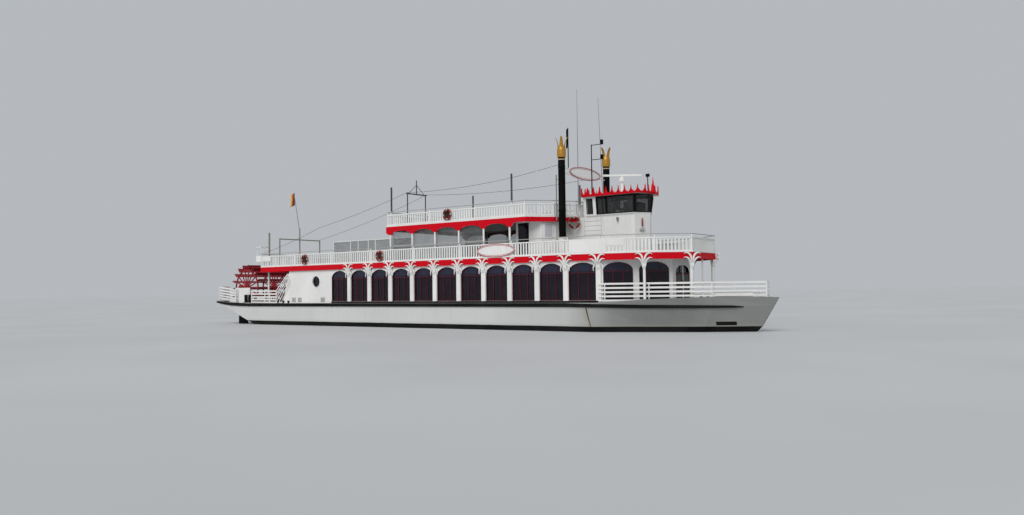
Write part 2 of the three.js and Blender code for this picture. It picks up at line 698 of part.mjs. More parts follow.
// Saloon floor with the rows of tables and benches it carries
const tableParts = [box(HOUSE_AFT_X + 0.16, 18.6, -3.7, 3.7, houseFoot, houseFoot + 0.03)];
for (let k = 0; k < TABLE_COUNT; k += 1) {
  const x = TABLE_X0 + k * TABLE_PITCH;
  for (const sign of [-1, 1]) {
    const near = sign * 1.5;
    const far = sign * 3.55;
    const y0 = Math.min(near, far);
    const y1 = Math.max(near, far);
    tableParts.push(box(x - 0.32, x + 0.32, y0, y1, 2.3, 2.35));
    tableParts.push(box(x - 0.05, x + 0.05, sign * 2.5 - 0.3, sign * 2.5 + 0.3, houseFoot, 2.32));
    tableParts.push(box(x + 0.78, x + 0.98, y0, y1, houseFoot, 2.62));
    tableParts.push(box(x + 0.55, x + 0.8, y0, y1, houseFoot, 2.07));
    tableParts.push(box(x + 0.96, x + 1.21, y0, y1, houseFoot, 2.07));
  }
}
place('saloon_tables', fuse(tableParts), 'wood');

// Door leaves, flush with the wall's outer face and hung on one edge of it
const DOOR_T = 0.05;
const DOOR_GAP = 0.012;
const HINGE_GAP = 0.0016;
for (const [side, sign] of [['starboard', -1], ['port', 1]]) {
  const hinged = sign * (FRONT_DOOR.half - HINGE_GAP);
  const meeting = sign * 0.006;
  place(
    `saloon_door_front_${side}`,
    box(
      HOUSE_FRONT_X - DOOR_T,
      HOUSE_FRONT_X,
      Math.min(hinged, meeting),
      Math.max(hinged, meeting),
      houseFoot + 0.06,
      FRONT_DOOR.top - DOOR_GAP,
    ),
    'glass',
  );
}
place(
  'saloon_door_aft',
  box(
    HOUSE_AFT_X,
    HOUSE_AFT_X + DOOR_T,
    HINGE_GAP - AFT_DOOR.half,
    AFT_DOOR.half - DOOR_GAP,
    houseFoot + 0.06,
    AFT_DOOR.top - DOOR_GAP,
  ),
  'glass',
);

// Upper deck: plate with a red fascia round its edge, on columns forward and posts aft
const upperOutline = [
  [UPPER_AFT_X, -UPPER_HALF], [18.2, -UPPER_HALF], [20.2, -3.83], [21.6, -3.42],
  [23.1, -2.87], [UPPER_FRONT_X, -UPPER_FRONT_HALF], [UPPER_FRONT_X, UPPER_FRONT_HALF], [23.1, 2.87],
  [21.6, 3.42], [20.2, 3.83], [18.2, UPPER_HALF], [UPPER_AFT_X, UPPER_HALF],
];
const onBulwark = interpolate([[WELL_START_X, DECK_Z], [WELL_MID_X, WELL_MID_SHEER]], 22.56) + GAP;
const onDeck = DECK_Z + GAP;
// Rows of x, distance from the centreline, foot level and radius
const foreColumns = [[22.47, 2.96, onBulwark, 0.075], [24.53, 1.4, onDeck, 0.095]];
const upperParts = [
  slab(upperOutline, UPPER_Z - UPPER_PLATE, UPPER_Z),
  strip(upperOutline, FASCIA_T, UPPER_FASCIA_Z, UPPER_Z, true),
];
for (const sign of [-1, 1]) {
  for (const [x, y, foot, radius] of foreColumns) {
    upperParts.push(rod([x, sign * y, foot], [x, sign * y, UPPER_Z - 0.02], radius, 10));
  }
  upperParts.push(rod([-9.55, sign * 3.5, DECK_Z + GAP], [-9.55, sign * 3.5, UPPER_Z - 0.02], 0.07, 8));
}
upperParts.push(rod([24.53, 0, onDeck], [24.53, 0, UPPER_Z - 0.02], 0.045, 8));
place('upper_deck', fuse(upperParts), 'red');

// Rail round the upper deck
const upperRailPath = offset(upperOutline, 0.04, true);
const upperRail = fence(
  upperRailPath,
  [[UPPER_Z + 0.06, UPPER_Z + 0.12, 0.04], [5.12, 5.19, 0.06], [5.33, 5.37, 0.04]],
  5.35,
  UPPER_Z + GAP,
  RAIL_PITCH,
  true,
);
// Upright plates on the rail that the life rings hang against
function ringHolder(x, sign, face, z0, z1) {
  const back = face - 0.05;
  const y0 = Math.min(sign * face, sign * back);
  const y1 = Math.max(sign * face, sign * back);
  return box(x - 0.05, x + 0.05, y0, y1, z0, z1);
}
const upperHolders = [RING_X.quarter, RING_X.waist].flatMap((x) => [-1, 1].map((sign) => ringHolder(
  x, sign, UPPER_HALF - 0.01, UPPER_Z + 0.06, 5.19,
)));
place('upper_rail', fuse([upperRail, ...upperHolders]), 'white');

// Sun deck over the after part of the upper deck, with a scalloped valance and its posts
const SUN_FRONT_X = 17.1;
const sunOutline = [
  [SUN_AFT_X, -SUN_HALF], [15.2, -SUN_HALF], [15.75, -3.2], [16.35, -2.6], [16.6, -1.8],
  [SUN_FRONT_X, -1.3], [SUN_FRONT_X, 1.3], [16.6, 1.8], [16.35, 2.6], [15.75, 3.2],
  [15.2, SUN_HALF], [SUN_AFT_X, SUN_HALF],
];
function valanceSide(sign) {
  const points = [[SUN_AFT_X, SUN_Z - 0.02], [SUN_AFT_X, VALANCE_LOW_Z + 0.14]];
  for (let k = 0; k + 1 < SUN_POST_X.length; k += 1) {
    const x0 = SUN_POST_X[k] + 0.14;
    const x1 = SUN_POST_X[k + 1] - 0.14;
    points.push([SUN_POST_X[k] - 0.14, VALANCE_LOW_Z], [x0, VALANCE_LOW_Z]);
    for (let i = 1; i < 6; i += 1) {
      const angle = Math.PI * (1 - i / 6);
      points.push([
        (x0 + x1) / 2 + ((x1 - x0) / 2) * Math.cos(angle),
        VALANCE_LOW_Z + (VALANCE_ARCH_Z - VALANCE_LOW_Z) * Math.sin(angle),
      ]);
    }
  }
  points.push([13.86, VALANCE_LOW_Z], [14.14, VALANCE_LOW_Z], [14.4, VALANCE_ARCH_Z]);
  points.push([15.2, VALANCE_ARCH_Z], [15.2, SUN_Z - 0.02]);
  const y0 = sign * SUN_HALF;
  const y1 = sign * (SUN_HALF - FASCIA_T);
  return sidePlate(points, Math.min(y0, y1), Math.max(y0, y1));
}
const sunParts = [
  slab(sunOutline, SUN_Z - SUN_PLATE, SUN_Z),
  valanceSide(-1),
  valanceSide(1),
  strip(sunOutline.slice(1, 6), FASCIA_T, VALANCE_ARCH_Z, SUN_Z),
  strip(sunOutline.slice(6, 11), FASCIA_T, VALANCE_ARCH_Z, SUN_Z),
  box(SUN_AFT_X, SUN_AFT_X + FASCIA_T, -SUN_HALF, SUN_HALF, VALANCE_ARCH_Z, SUN_Z),
];
for (const sign of [-1, 1]) {
  for (const x of SUN_POST_X) {
    const y = sign * (SUN_HALF - 0.06);
    sunParts.push(rod([x, y, UPPER_Z + GAP], [x, y, SUN_Z - 0.02], SUN_POST_R, 8));
  }
}
place('sun_deck', fuse(sunParts), 'red');

const sunRailPath = offset(sunOutline, 0.09, true);
const sunRail = fence(
  sunRailPath,
  [[SUN_Z + 0.06, SUN_Z + 0.12, 0.04], [7.44, 7.51, 0.06], [7.66, 7.7, 0.04]],
  7.68,
  SUN_Z + GAP,
  RAIL_PITCH,
  true,
);
// Rows of x and side of the light poles
const lightPoles = [[4.0, -1], [14.1, -1], [4.8, 1], [14.1, 1]].map(([x, sign]) => rod(
  [x, sign * (SUN_HALF - 0.16), SUN_Z + GAP],
  [x, sign * (SUN_HALF - 0.16), SUN_POLE_TOP],
  SUN_POLE_R,
  8,
));
const sunHolders = [-1, 1].map((sign) => ringHolder(
  RING_X.sunDeck, sign, SUN_HALF - 0.06, SUN_Z + 0.06, 7.51,
));
// The rail stops on either side of the way to the wheelhouse door
const SUN_GATE_HALF = 0.45;
const sunGate = box(SUN_FRONT_X - 0.3, SUN_FRONT_X + 0.3, -SUN_GATE_HALF, SUN_GATE_HALF, SUN_Z - 1, 9);
const gateX = SUN_FRONT_X - 0.09;
const gatePosts = [-1, 1].map((sign) => {
  const y = sign * (SUN_GATE_HALF + 0.02);
  return box(gateX - 0.03, gateX + 0.03, y - 0.03, y + 0.03, SUN_Z + GAP, 7.68);
});
place('sun_rail', fuse([cut(sunRail, [sunGate]), ...gatePosts, ...lightPoles, ...sunHolders]), 'white');

// Clear screens inside the posts of the four after bays, hung from the deck above
const SCREEN_Y = SUN_HALF - 0.16;
for (const [side, sign] of [['starboard', -1], ['port', 1]]) {
  const y0 = Math.min(sign * SCREEN_Y, sign * (SCREEN_Y + 0.02));
  const top = SUN_Z - SUN_PLATE - GAP;
  place(`veranda_screen_${side}`, box(4.08, 11.92, y0, y0 + 0.02, UPPER_Z + 0.02, top), 'glass');
}

// Cabin at the fore end of the sun deck, running forward as the trunk under the wheelhouse
const cabinFoot = UPPER_Z + GAP;
const cabinTop = SUN_Z - SUN_PLATE - GAP;
const cabinOutline = [
  [CABIN_AFT_X, -CABIN_HALF], [15.7, -CABIN_HALF], [CABIN_FRONT_X, -2.3], [CABIN_FRONT_X, -TRUNK_HALF],
  [TRUNK_SHOULDER_X, -TRUNK_HALF], [TRUNK_FRONT_X, -TRUNK_FRONT_HALF],
  [TRUNK_FRONT_X, TRUNK_FRONT_HALF], [TRUNK_SHOULDER_X, TRUNK_HALF],
  [CABIN_FRONT_X, TRUNK_HALF], [CABIN_FRONT_X, 2.3], [15.7, CABIN_HALF], [CABIN_AFT_X, CABIN_HALF],
];
const trunkTop = slab(
  [
    [SUN_FRONT_X + 0.01, -TRUNK_HALF], [TRUNK_SHOULDER_X, -TRUNK_HALF], [TRUNK_FRONT_X, -TRUNK_FRONT_HALF],
    [TRUNK_FRONT_X, TRUNK_FRONT_HALF], [TRUNK_SHOULDER_X, TRUNK_HALF], [SUN_FRONT_X + 0.01, TRUNK_HALF],
  ],
  cabinTop - 0.06,
  CABIN_TOP_Z,
);
const cabinTools = [];
const CABIN_DOOR = { x0: 13.96, x1: 14.76, top: 6.42 };
for (const sign of [-1, 1]) {
  const y0 = Math.min(sign * 2.5, sign * 3.5);
  const y1 = Math.max(sign * 2.5, sign * 3.5);
  cabinTools.push(box(CABIN_DOOR.x0, CABIN_DOOR.x1, y0, y1, cabinFoot + 0.05, CABIN_DOOR.top));
}
const cabinWalls = cut(strip(cabinOutline, CABIN_WALL, cabinFoot, cabinTop, true), cabinTools);
place('cabin_walls', fuse([cabinWalls, trunkTop]), 'white');
for (const [side, sign] of [['starboard', -1], ['port', 1]]) {
  const y0 = Math.min(sign * CABIN_HALF, sign * (CABIN_HALF - DOOR_T));
  const z1 = CABIN_DOOR.top - DOOR_GAP;
  place(
    `cabin_door_${side}`,
    box(CABIN_DOOR.x0 + DOOR_GAP, CABIN_DOOR.x1 - HINGE_GAP, y0, y0 + DOOR_T, cabinFoot + 0.07, z1),
    'glass',
  );
}

// Wheelhouse: walls that lean outwards round the windows, dark glass inside them
function wheelhouseRing(grow, z, inset) {
  const half = TRUNK_HALF + grow - inset;
  const shoulder = TRUNK_SHOULDER_X + grow - inset * 0.7;
  const front = TRUNK_FRONT_X + grow - inset;
  const frontHalf = TRUNK_FRONT_HALF + grow * 0.6 - inset * 0.6;
  const aft = WHEELHOUSE_AFT_X + inset;
  return [
    [aft, -half, z], [shoulder, -half, z], [front, -frontHalf, z],
    [front, frontHalf, z], [shoulder, half, z], [aft, half, z],
  ];
}
const wheelhouseFoot = CABIN_TOP_Z + GAP;
// The walls lean by the same slope above the top and below the foot
function wheelhouseLoft(inset, z0, z1) {
  const lean = (z) => (WHEELHOUSE_LEAN * (z - wheelhouseFoot)) / (WHEELHOUSE_TOP_Z - wheelhouseFoot);
  return loft([wheelhouseRing(lean(z0), z0, inset), wheelhouseRing(lean(z1), z1, inset)]);
}
const WHEELHOUSE_DOOR = { half: 0.35, top: 7.7 };
const smallWindow = [17.67, 18.06];
const [bandLow, bandHigh] = WINDOW_BAND_Z;
const wheelTools = [
  wheelhouseLoft(WHEELHOUSE_WALL, wheelhouseFoot - 0.1, WHEELHOUSE_TOP_Z + 0.1),
  box(WINDOW_BAND_X, TRUNK_SHOULDER_X - 0.08, -3, 3, bandLow, bandHigh),
  box(smallWindow[0], smallWindow[1], -3, 3, bandLow, bandHigh),
  box(16, 17.6, -WHEELHOUSE_DOOR.half, WHEELHOUSE_DOOR.half, wheelhouseFoot - 1, WHEELHOUSE_DOOR.top),
];
for (const sign of [-1, 1]) {
  const corner = new THREE.BoxGeometry(0.5, 0.84, bandHigh - bandLow);
  corner.translate(0, 0, (bandLow + bandHigh) / 2);
  corner.rotateZ(sign * Math.atan2(TRUNK_FRONT_X - TRUNK_SHOULDER_X, TRUNK_HALF - TRUNK_FRONT_HALF));
  const middleX = (TRUNK_FRONT_X + TRUNK_SHOULDER_X) / 2 + 0.03;
  corner.translate(middleX, sign * ((TRUNK_HALF + TRUNK_FRONT_HALF) / 2 + 0.03), 0);
  wheelTools.push(solid(corner));
}
const wheelhouseOuter = wheelhouseLoft(0, wheelhouseFoot, WHEELHOUSE_TOP_Z);
place('wheelhouse_walls', cut(wheelhouseOuter, wheelTools), 'white');
place('wheelhouse_door', box(
  WHEELHOUSE_AFT_X + 0.03,
  WHEELHOUSE_AFT_X + WHEELHOUSE_WALL,
  HINGE_GAP - WHEELHOUSE_DOOR.half,
  WHEELHOUSE_DOOR.half - DOOR_GAP,
  wheelhouseFoot + 0.03,
  WHEELHOUSE_DOOR.top - DOOR_GAP,
), 'white');
const shellZ = [wheelhouseFoot - 0.1, WHEELHOUSE_TOP_Z + 0.1];
place('wheelhouse_glass', cut(
  wheelhouseLoft(WHEELHOUSE_WALL + GAP, ...shellZ),
  [
    wheelhouseLoft(WHEELHOUSE_WALL + GAP + 0.02, ...shellZ),
    box(16, smallWindow[0] - 0.05, -3, 3, 6, 9),
    box(16, 23, -3, 3, 6, bandLow - 0.05),
    box(16, 23, -3, 3, bandHigh + 0.05, 9),
  ],
), 'glass');

place(
  'wheelhouse_roof',
  (() => {
    const outlineRoof = [
      [ROOF_X0, -ROOF_HALF], [ROOF_SHOULDER_X, -ROOF_HALF], [ROOF_X1, -ROOF_FRONT_HALF],
      [ROOF_X1, ROOF_FRONT_HALF], [ROOF_SHOULDER_X, ROOF_HALF], [ROOF_X0, ROOF_HALF],
    ];
    const plate = slab(outlineRoof, WHEELHOUSE_TOP_Z + GAP, WHEELHOUSE_TOP_Z + 0.1);
    const band = strip(outlineRoof, 0.05, WHEELHOUSE_TOP_Z + GAP, ROOF_Z1, true);
    const spikes = [];
    const line = [...outlineRoof, outlineRoof[0]];
    for (let i = 0; i + 1 < line.length; i += 1) {
      const [x0, y0] = line[i];
      const [x1, y1] = line[i + 1];
      const length = Math.hypot(x1 - x0, y1 - y0);
      const count = Math.max(1, Math.round(length / SPIKE_PITCH));
      for (let k = 0; k < count; k += 1) {
        const middle = (k + 0.5) / count;
        const half = length / count / 2 - 0.03;
        const points = [[-half, ROOF_Z1 - 0.02], [half, ROOF_Z1 - 0.02], [0, SPIKE_Z]];
        const geometry = new THREE.ExtrudeGeometry(outline(points), { depth: 0.05, bevelEnabled: false });
        geometry.rotateX(Math.PI / 2);
        geometry.translate(0, 0.05, 0);
        geometry.rotateZ(Math.atan2(y1 - y0, x1 - x0));
        geometry.translate(x0 + (x1 - x0) * middle, y0 + (y1 - y0) * middle, 0);
        spikes.push(solid(geometry));
      }
    }
    const tall = rod([ROOF_X1 + 0.06, 0, ROOF_Z1 - 0.12], [ROOF_X1 + 0.06, 0, TALL_SPIKE_Z], 0.15, 8, 0.015);
    return fuse([plate, band, ...spikes, tall]);
  })(),
  'red',
);

// Floor plate of the wheelhouse with the console and the chair on it
const helmFloor = wheelhouseFoot + 0.03;
place('helm_station', fuse([
  box(17.62, 20.75, -0.82, 0.82, wheelhouseFoot, helmFloor),
  sidePlate(
    [[20.05, wheelhouseFoot], [20.6, wheelhouseFoot], [20.6, 7.45], [20.42, 7.52], [20.05, 7.4]],
    -0.8,
    0.8,
  ),
  rod([19.4, 0, wheelhouseFoot], [19.4, 0, 7.1], 0.05, 8),
  rod([19.4, 0, wheelhouseFoot], [19.4, 0, helmFloor + 0.04], 0.24, 10),
  box(19.18, 19.66, -0.24, 0.24, 7.08, 7.18),
  box(19.14, 19.22, -0.23, 0.23, 7.1, 7.66),
]), 'black');

// Funnels, each a pipe in a wider casing at its foot, under a crown that opens into four petals
// Rows of radius and height up the outside of the crown and down its inside
const crownOutside = [
  [0.24, 10.14], [0.262, 10.35], [0.262, CROWN_CUP_Z], [0.2, 10.92], [0.24, 11.2], [0.37, 11.5],
];
const crownInside = [[0.34, 11.5], [0.21, 11.2], [0.17, 10.92], [0.17, CROWN_CUP_Z]];
// Rows of half width and height of the gap between two petals
const petalGap = [[0.01, PETAL_FOOT_Z], [0.08, 11.0], [0.125, 11.2], [0.245, 11.5], [0.29, 11.6]];
for (const [side, sign, firstGap] of [['starboard', -1, -0.199], ['port', 1, 0.534]]) {
  const y = sign * FUNNEL_Y;
  const body = lathe([
    [0, UPPER_Z + GAP], [FUNNEL_R + 0.06, UPPER_Z + GAP], [FUNNEL_R + 0.06, FUNNEL_FOOT_Z],
    [FUNNEL_R, FUNNEL_FOOT_Z], [FUNNEL_R, CROWN_FOOT_Z], ...crownOutside, ...crownInside, [0, CROWN_CUP_Z],
  ], 16, FUNNEL_X, y);
  const gaps = [];
  for (let k = 0; k < PETALS; k += 1) {
    const otherEdge = petalGap.map(([half, z]) => [-half, z]).reverse();
    const wedge = new THREE.ExtrudeGeometry(
      outline([...petalGap, ...otherEdge]),
      { depth: 1, bevelEnabled: false },
    );
    wedge.rotateX(Math.PI / 2);
    wedge.rotateZ(firstGap + Math.PI / 2 + (2 * Math.PI * k) / PETALS);
    wedge.translate(FUNNEL_X, y, 0);
    gaps.push(solid(wedge));
  }
  place(`funnel_${side}`, cut(body, gaps), 'black');
}

// Blank oval board between the funnels, held by two short arms at each end
const boardArms = [-1, 1].flatMap((sign) => [9.3, 9.6].map((z) => rod(
  [FUNNEL_X, sign * 1.5, z],
  [FUNNEL_X, sign * (FUNNEL_Y - FUNNEL_R - GAP), z],
  0.025,
  6,
)));
const funnelBoard = crossPlate(ellipse(0, 9.46, 1.78, 0.39, 20), FUNNEL_X - 0.04, FUNNEL_X + 0.04);
const pennantPole = rod([FUNNEL_X, -1.84, 9.2], [FUNNEL_X, -1.84, 12.06], 0.03, 6);
place('funnel_name_board', fuse([funnelBoard, pennantPole, ...boardArms]), 'white');

// Blank oval board on the starboard and port rails of the upper deck
for (const [side, sign] of [['starboard', -1], ['port', 1]]) {
  const y = sign * (UPPER_HALF - 0.01 + GAP + 0.025);
  place(
    `side_name_board_${side}`,
    sidePlate(ellipse(13.05, 4.78, 1.45, 0.4, 20), y - 0.025, y + 0.025),
    'white',
  );
}

// Rail of level planks round the fore deck, just inside the bulwark
const PLANKS = [2.61, 2.38, 2.15, 1.92, 1.69];
const bowRailHalf = [[20.36, 3.64], [22.62, 2.74], [25.77, 1.56], [28.24, 0.17]];
const bowRailPath = [...mirrored(bowRailHalf), ...[...bowRailHalf].reverse()];
const bowRail = fence(
  bowRailPath,
  PLANKS.map((z) => [z, z + 0.1, 0.04]),
  2.71,
  DECK_Z + GAP,
  3.3,
  false,
  0.025,
);
place('bow_rail', bowRail, 'white');

// Rails of planks along each stern arm, returned across its end. Between the two runs a solid panel
// stands further inboard to clear the bollards.
const span = (sign, near, far) => [Math.min(sign * near, sign * far), Math.max(sign * near, sign * far)];
const STERN_PLANKS = [2.48, 2.25, 2.03, 1.82, 1.63];
const PLANK_H = 0.1;
const sternLift = [[-15.31, 0.38], [-13.2, 0.11], [-11.15, 0.02], [-8.05, 0]];
const sternRuns = [[[-15.31, -13.2], [3.88, 3.92]], [[-11.17, -8.05], [3.88, 3.92]]];
const sternPosts = [-15.29, -13.2, -11.15, -9.5, -8.92, -8.05];
const STERN_PANEL_X = [-13.62, -11.72];
const STERN_PANEL_Y = [3.61, 3.65];
const STERN_PANEL_TOP = 2.82;
// Rows of foot and head (x, z) of the upper, middle and lower slat at the fore end
const slatGuides = [
  [[-7.98, 2.6], [-6.72, 3.76]],
  [[-7.94, 1.98], [-6.52, 3.6]],
  [[-7.51, 1.56], [-6.37, 3.19]],
];
const SLATS = 6;
const SLAT_FOOT_Z = 1.68;
const SLAT_Y = [HOUSE_HALF + GAP, HOUSE_HALF + 0.035];

// Slats climb from the last post to the saloon wall, each between the guides on either side of it
function sternSlats(sign) {
  const [y0, y1] = span(sign, ...SLAT_Y);
  const parts = [];
  for (let k = 0; k < SLATS; k += 1) {
    const along = ((slatGuides.length - 1) * k) / (SLATS - 1);
    const row = Math.min(Math.floor(along), slatGuides.length - 2);
    const share = along - row;
    const [[x0, z0], [x1, z1]] = slatGuides[row].map((point, end) => point.map(
      (value, axis) => value + (slatGuides[row + 1][end][axis] - value) * share,
    ));
    const slope = (z1 - z0) / (x1 - x0);
    const postX = sternPosts[sternPosts.length - 1];
    const footX = Math.max(postX, x0 + (SLAT_FOOT_Z - z0) / slope);
    const footZ = z0 + (footX - x0) * slope;
    parts.push(sidePlate(
      [[footX, footZ - 0.04], [x1, z1 - 0.04], [x1, z1 + 0.04], [footX, footZ + 0.04]],
      y0,
      y1,
    ));
  }
  const heads = slatGuides.map(([, head]) => head);
  parts.push(sidePlate([...heads, ...offset(heads, 0.06).reverse()], y0, y1));
  parts.push(box(-8.05, -7.3, y0, y1, 1.64, 1.72));
  return parts;
}

for (const [side, sign] of [['starboard', -1], ['port', 1]]) {
  const parts = sternSlats(sign);
  for (const z of STERN_PLANKS) {
    for (const [[x0, x1], ys] of sternRuns) {
      const [y0, y1] = span(sign, ...ys);
      const line = [[x0, 0], ...sternLift.filter(([x]) => x > x0 && x < x1), [x1, 0]];
      const low = line.map(([x]) => [x, z + interpolate(sternLift, x)]);
      const high = low.map(([x, level]) => [x, level + PLANK_H]).reverse();
      parts.push(sidePlate([...low, ...high], y0, y1));
    }
    const endZ = z + interpolate(sternLift, -15.31);
    parts.push(box(-15.31, -15.27, ...span(sign, 3.06, 3.9), endZ, endZ + PLANK_H));
    const stepZ = z + interpolate(sternLift, -13.2);
    parts.push(box(-13.22, -13.18, ...span(sign, STERN_PANEL_Y[0], 3.9), stepZ, stepZ + PLANK_H));
  }
  const foot = DECK_Z + GAP;
  const [panel0, panel1] = STERN_PANEL_X;
  const inboard = span(sign, ...STERN_PANEL_Y);
  parts.push(box(panel0, panel1, ...inboard, foot, STERN_PANEL_TOP));
  parts.push(box(panel1 - 0.02, -11.13, ...inboard, 1.66, 1.76));
  parts.push(box(-11.17, -11.13, ...span(sign, STERN_PANEL_Y[0], 3.9), 1.66, 1.76));
  for (const x of sternPosts) {
    const far = x === -8.05 ? SLAT_Y[1] : 3.93;
    const top = STERN_PLANKS[0] + PLANK_H + interpolate(sternLift, x);
    parts.push(box(x - 0.03, x + 0.03, ...span(sign, 3.87, far), foot, top));
  }
  const endTop = STERN_PLANKS[0] + PLANK_H + sternLift[0][1];
  parts.push(box(-15.32, -15.26, ...span(sign, 3.03, 3.09), foot, endTop));
  place(`stern_rail_${side}`, fuse(parts), 'white');
}

// Frame at the after end of the upper deck with the ensign staff, and a taller pole beside it
const FRAME_X = -9.66;
const STAFF_Y = -0.45;
const STAFF_KNEE_Z = 7.5;
const STAFF_TOP = [-10.36, STAFF_Y, 10.4];
place('ensign_staff', fuse([
  rod([FRAME_X, -2.39, UPPER_Z + GAP], [FRAME_X, -2.39, 6.6], 0.05, 8),
  rod([FRAME_X, 1.58, UPPER_Z + GAP], [FRAME_X, 1.58, 6.6], 0.05, 8),
  box(FRAME_X - 0.04, FRAME_X + 0.04, -2.43, 1.62, 6.55, 6.63),
  rod([FRAME_X, STAFF_Y, UPPER_Z + GAP], [FRAME_X, STAFF_Y, STAFF_KNEE_Z], 0.05, 8),
  rod([FRAME_X, STAFF_Y, STAFF_KNEE_Z - 0.3], STAFF_TOP, 0.03, 12),
]), 'white');
const staffEdge = (z) => FRAME_X - 0.0313
  + ((STAFF_TOP[0] - FRAME_X) * (z - STAFF_KNEE_Z + 0.3)) / (STAFF_TOP[2] - STAFF_KNEE_Z + 0.3);
place('ensign', sidePlate(
  [
    [-10.61, 9.14], [staffEdge(9.34), 9.34], [staffEdge(10.33), 10.33], [-10.48, 10.47], [-10.81, 9.78],
  ],
  STAFF_Y - 0.05,
  STAFF_Y + 0.05,
), 'cloth');
place('stern_pole', rod([FRAME_X, -3.37, UPPER_Z + GAP], [FRAME_X, -3.37, 7.02], 0.07, 8), 'wood');

// White locker hung outside the after rail, with a low rack on its lid
place('stern_locker', fuse([
  box(-10.45, UPPER_AFT_X + 0.01 - GAP, -4.0, -3.25, 4.78, 5.24),
  ...[-10.4, -9.9].flatMap((x) => [-3.95, -3.3].map((y) => box(x, x + 0.04, y, y + 0.04, 5.2, 5.9))),
  box(-10.45, -9.82, -4.0, -3.94, 5.88, 5.94),
  box(-10.45, -9.82, -3.32, -3.25, 5.88, 5.94),
  box(-10.45, -10.39, -4.0, -3.25, 5.88, 5.94),
  box(-9.88, -9.82, -4.0, -3.25, 5.88, 5.94),
]), 'white');

// Glazed wind screen along the middle of the open part of the upper deck
const SCREEN_POSTS = [-6.1, -4.2, -3.35, -2.25, -1.5, 0.4, 2.3];
place('wind_screen_frame', fuse([
  box(-6.12, 2.34, -0.03, 0.03, 4.4, 4.46),
  box(-6.12, 2.34, -0.03, 0.03, 6.24, 6.3),
  box(-6.12, 2.34, -0.03, 0.03, 5.36, 5.4),
  ...SCREEN_POSTS.map((x) => box(x - 0.035, x + 0.035, -0.035, 0.035, UPPER_Z + GAP, 6.3)),
]), 'white');
place('wind_screen_glass', box(-6.1, 2.32, 0.035 + GAP, 0.055, 4.48, 6.28), 'glass');

// Light mast on the after end of the sun deck: a cross frame with a braced topmast
const MAST_X = 3.82;
place('light_mast', fuse([
  rod([MAST_X + 0.12, -2.2, SUN_Z + GAP], [MAST_X + 0.12, -2.2, 9.12], 0.04, 8),
  rod([MAST_X + 0.12, -0.4, SUN_Z + GAP], [MAST_X + 0.12, -0.4, 9.12], 0.04, 8),
  box(MAST_X + 0.08, MAST_X + 0.16, -2.3, -0.3, 9.06, 9.14),
  rod([MAST_X + 0.12, -1.3, 9.08], [MAST_X + 0.12, -1.3, 10.08], 0.035, 8),
  rod([MAST_X + 0.12, -2.1, 9.1], [MAST_X + 0.12, -1.3, 9.75], 0.02, 6),
  rod([MAST_X + 0.12, -0.5, 9.1], [MAST_X + 0.12, -1.3, 9.75], 0.02, 6),
]), 'steel');

// Signal mast on the wheelhouse roof with two lanterns on forward arms
const roofTop = WHEELHOUSE_TOP_Z + 0.1 + GAP;
const SIGNAL_X = 17.52;
const SIGNAL_Y = -0.2;
const LANTERN_X = 18.25;
place('signal_mast', fuse([
  rod([SIGNAL_X, SIGNAL_Y, roofTop], [SIGNAL_X, SIGNAL_Y, 11.19], 0.04, 8, 0.03),
  ...[11.15, 10.25].flatMap((z) => [
    rod([SIGNAL_X, SIGNAL_Y, z], [LANTERN_X + 0.04, SIGNAL_Y, z], 0.022, 6),
    rod([LANTERN_X, SIGNAL_Y, z - 0.02], [LANTERN_X, SIGNAL_Y, z + 0.26], 0.1, 10),
  ]),
]), 'steel');
const WHIP_FOOT = [17.95, 0.35, roofTop + 0.001];
place('whip_antenna_fore', rod(WHIP_FOOT, [17.7, 0.35, 14.15], 0.024, 6, 0.012), 'steel');
place('whip_antenna_aft', rod([16.4, 0, SUN_Z + GAP], [16.4, 0, 14.8], 0.03, 6, 0.012), 'steel');

// Radar pedestal and its turning scanner bar
const RADAR = [19.5, 0];
place('radar_pedestal', fuse([
  rod([...RADAR, roofTop], [...RADAR, 8.8], 0.07, 10),
  rod([...RADAR, roofTop], [...RADAR, roofTop + 0.04], 0.2, 10),
  rod([...RADAR, 8.78], [...RADAR, 9.0], 0.17, 12),
]), 'white');
const scannerBar = new THREE.BoxGeometry(2.3, 0.16, 0.11);
scannerBar.rotateZ(0.645);
scannerBar.translate(RADAR[0], RADAR[1], 9.14);
place('radar_scanner', fuse([
  solid(scannerBar),
  rod([...RADAR, 9.0016], [...RADAR, 9.12], 0.1, 12),
]), 'white');
place('search_light', fuse([
  rod([21.08, 0.25, roofTop], [21.08, 0.25, 8.95], 0.03, 8),
  rod([20.99, 0.25, 9.03], [21.17, 0.25, 9.03], 0.1, 12),
]), 'black');

// Life rings on the rails and on the fore edge of the sun deck
function lifeRing(name, x, y, z, turn) {
  const ring = new THREE.TorusGeometry(0.3, 0.07, 5, 12);
  ring.rotateX(Math.PI / 2);
  ring.rotateZ(turn);
  ring.translate(x, y, z);
  place(name, solid(ring), 'cloth');
}
const ringTable = [
  ['quarter', RING_X.quarter, UPPER_HALF - 0.01 + RING_SEAT, 4.79, 0],
  ['waist', RING_X.waist, UPPER_HALF - 0.01 + RING_SEAT, 4.79, 0],
  ['sun_deck', RING_X.sunDeck, SUN_HALF - 0.06 + RING_SEAT, 7.21, 0],
  ['fore', 16.97 + RING_SEAT / Math.SQRT2, 1.43 + RING_SEAT / Math.SQRT2, 6.38, Math.PI / 4],
];
for (const [where, x, y, z, turn] of ringTable) {
  lifeRing(`life_ring_${where}_starboard`, x, -y, z, turn);
  lifeRing(`life_ring_${where}_port`, x, y, z, -turn);
}

export default group;
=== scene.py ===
"""Looks of the stern-wheel river boat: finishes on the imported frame, and the small work that sits on it."""

import json
import math

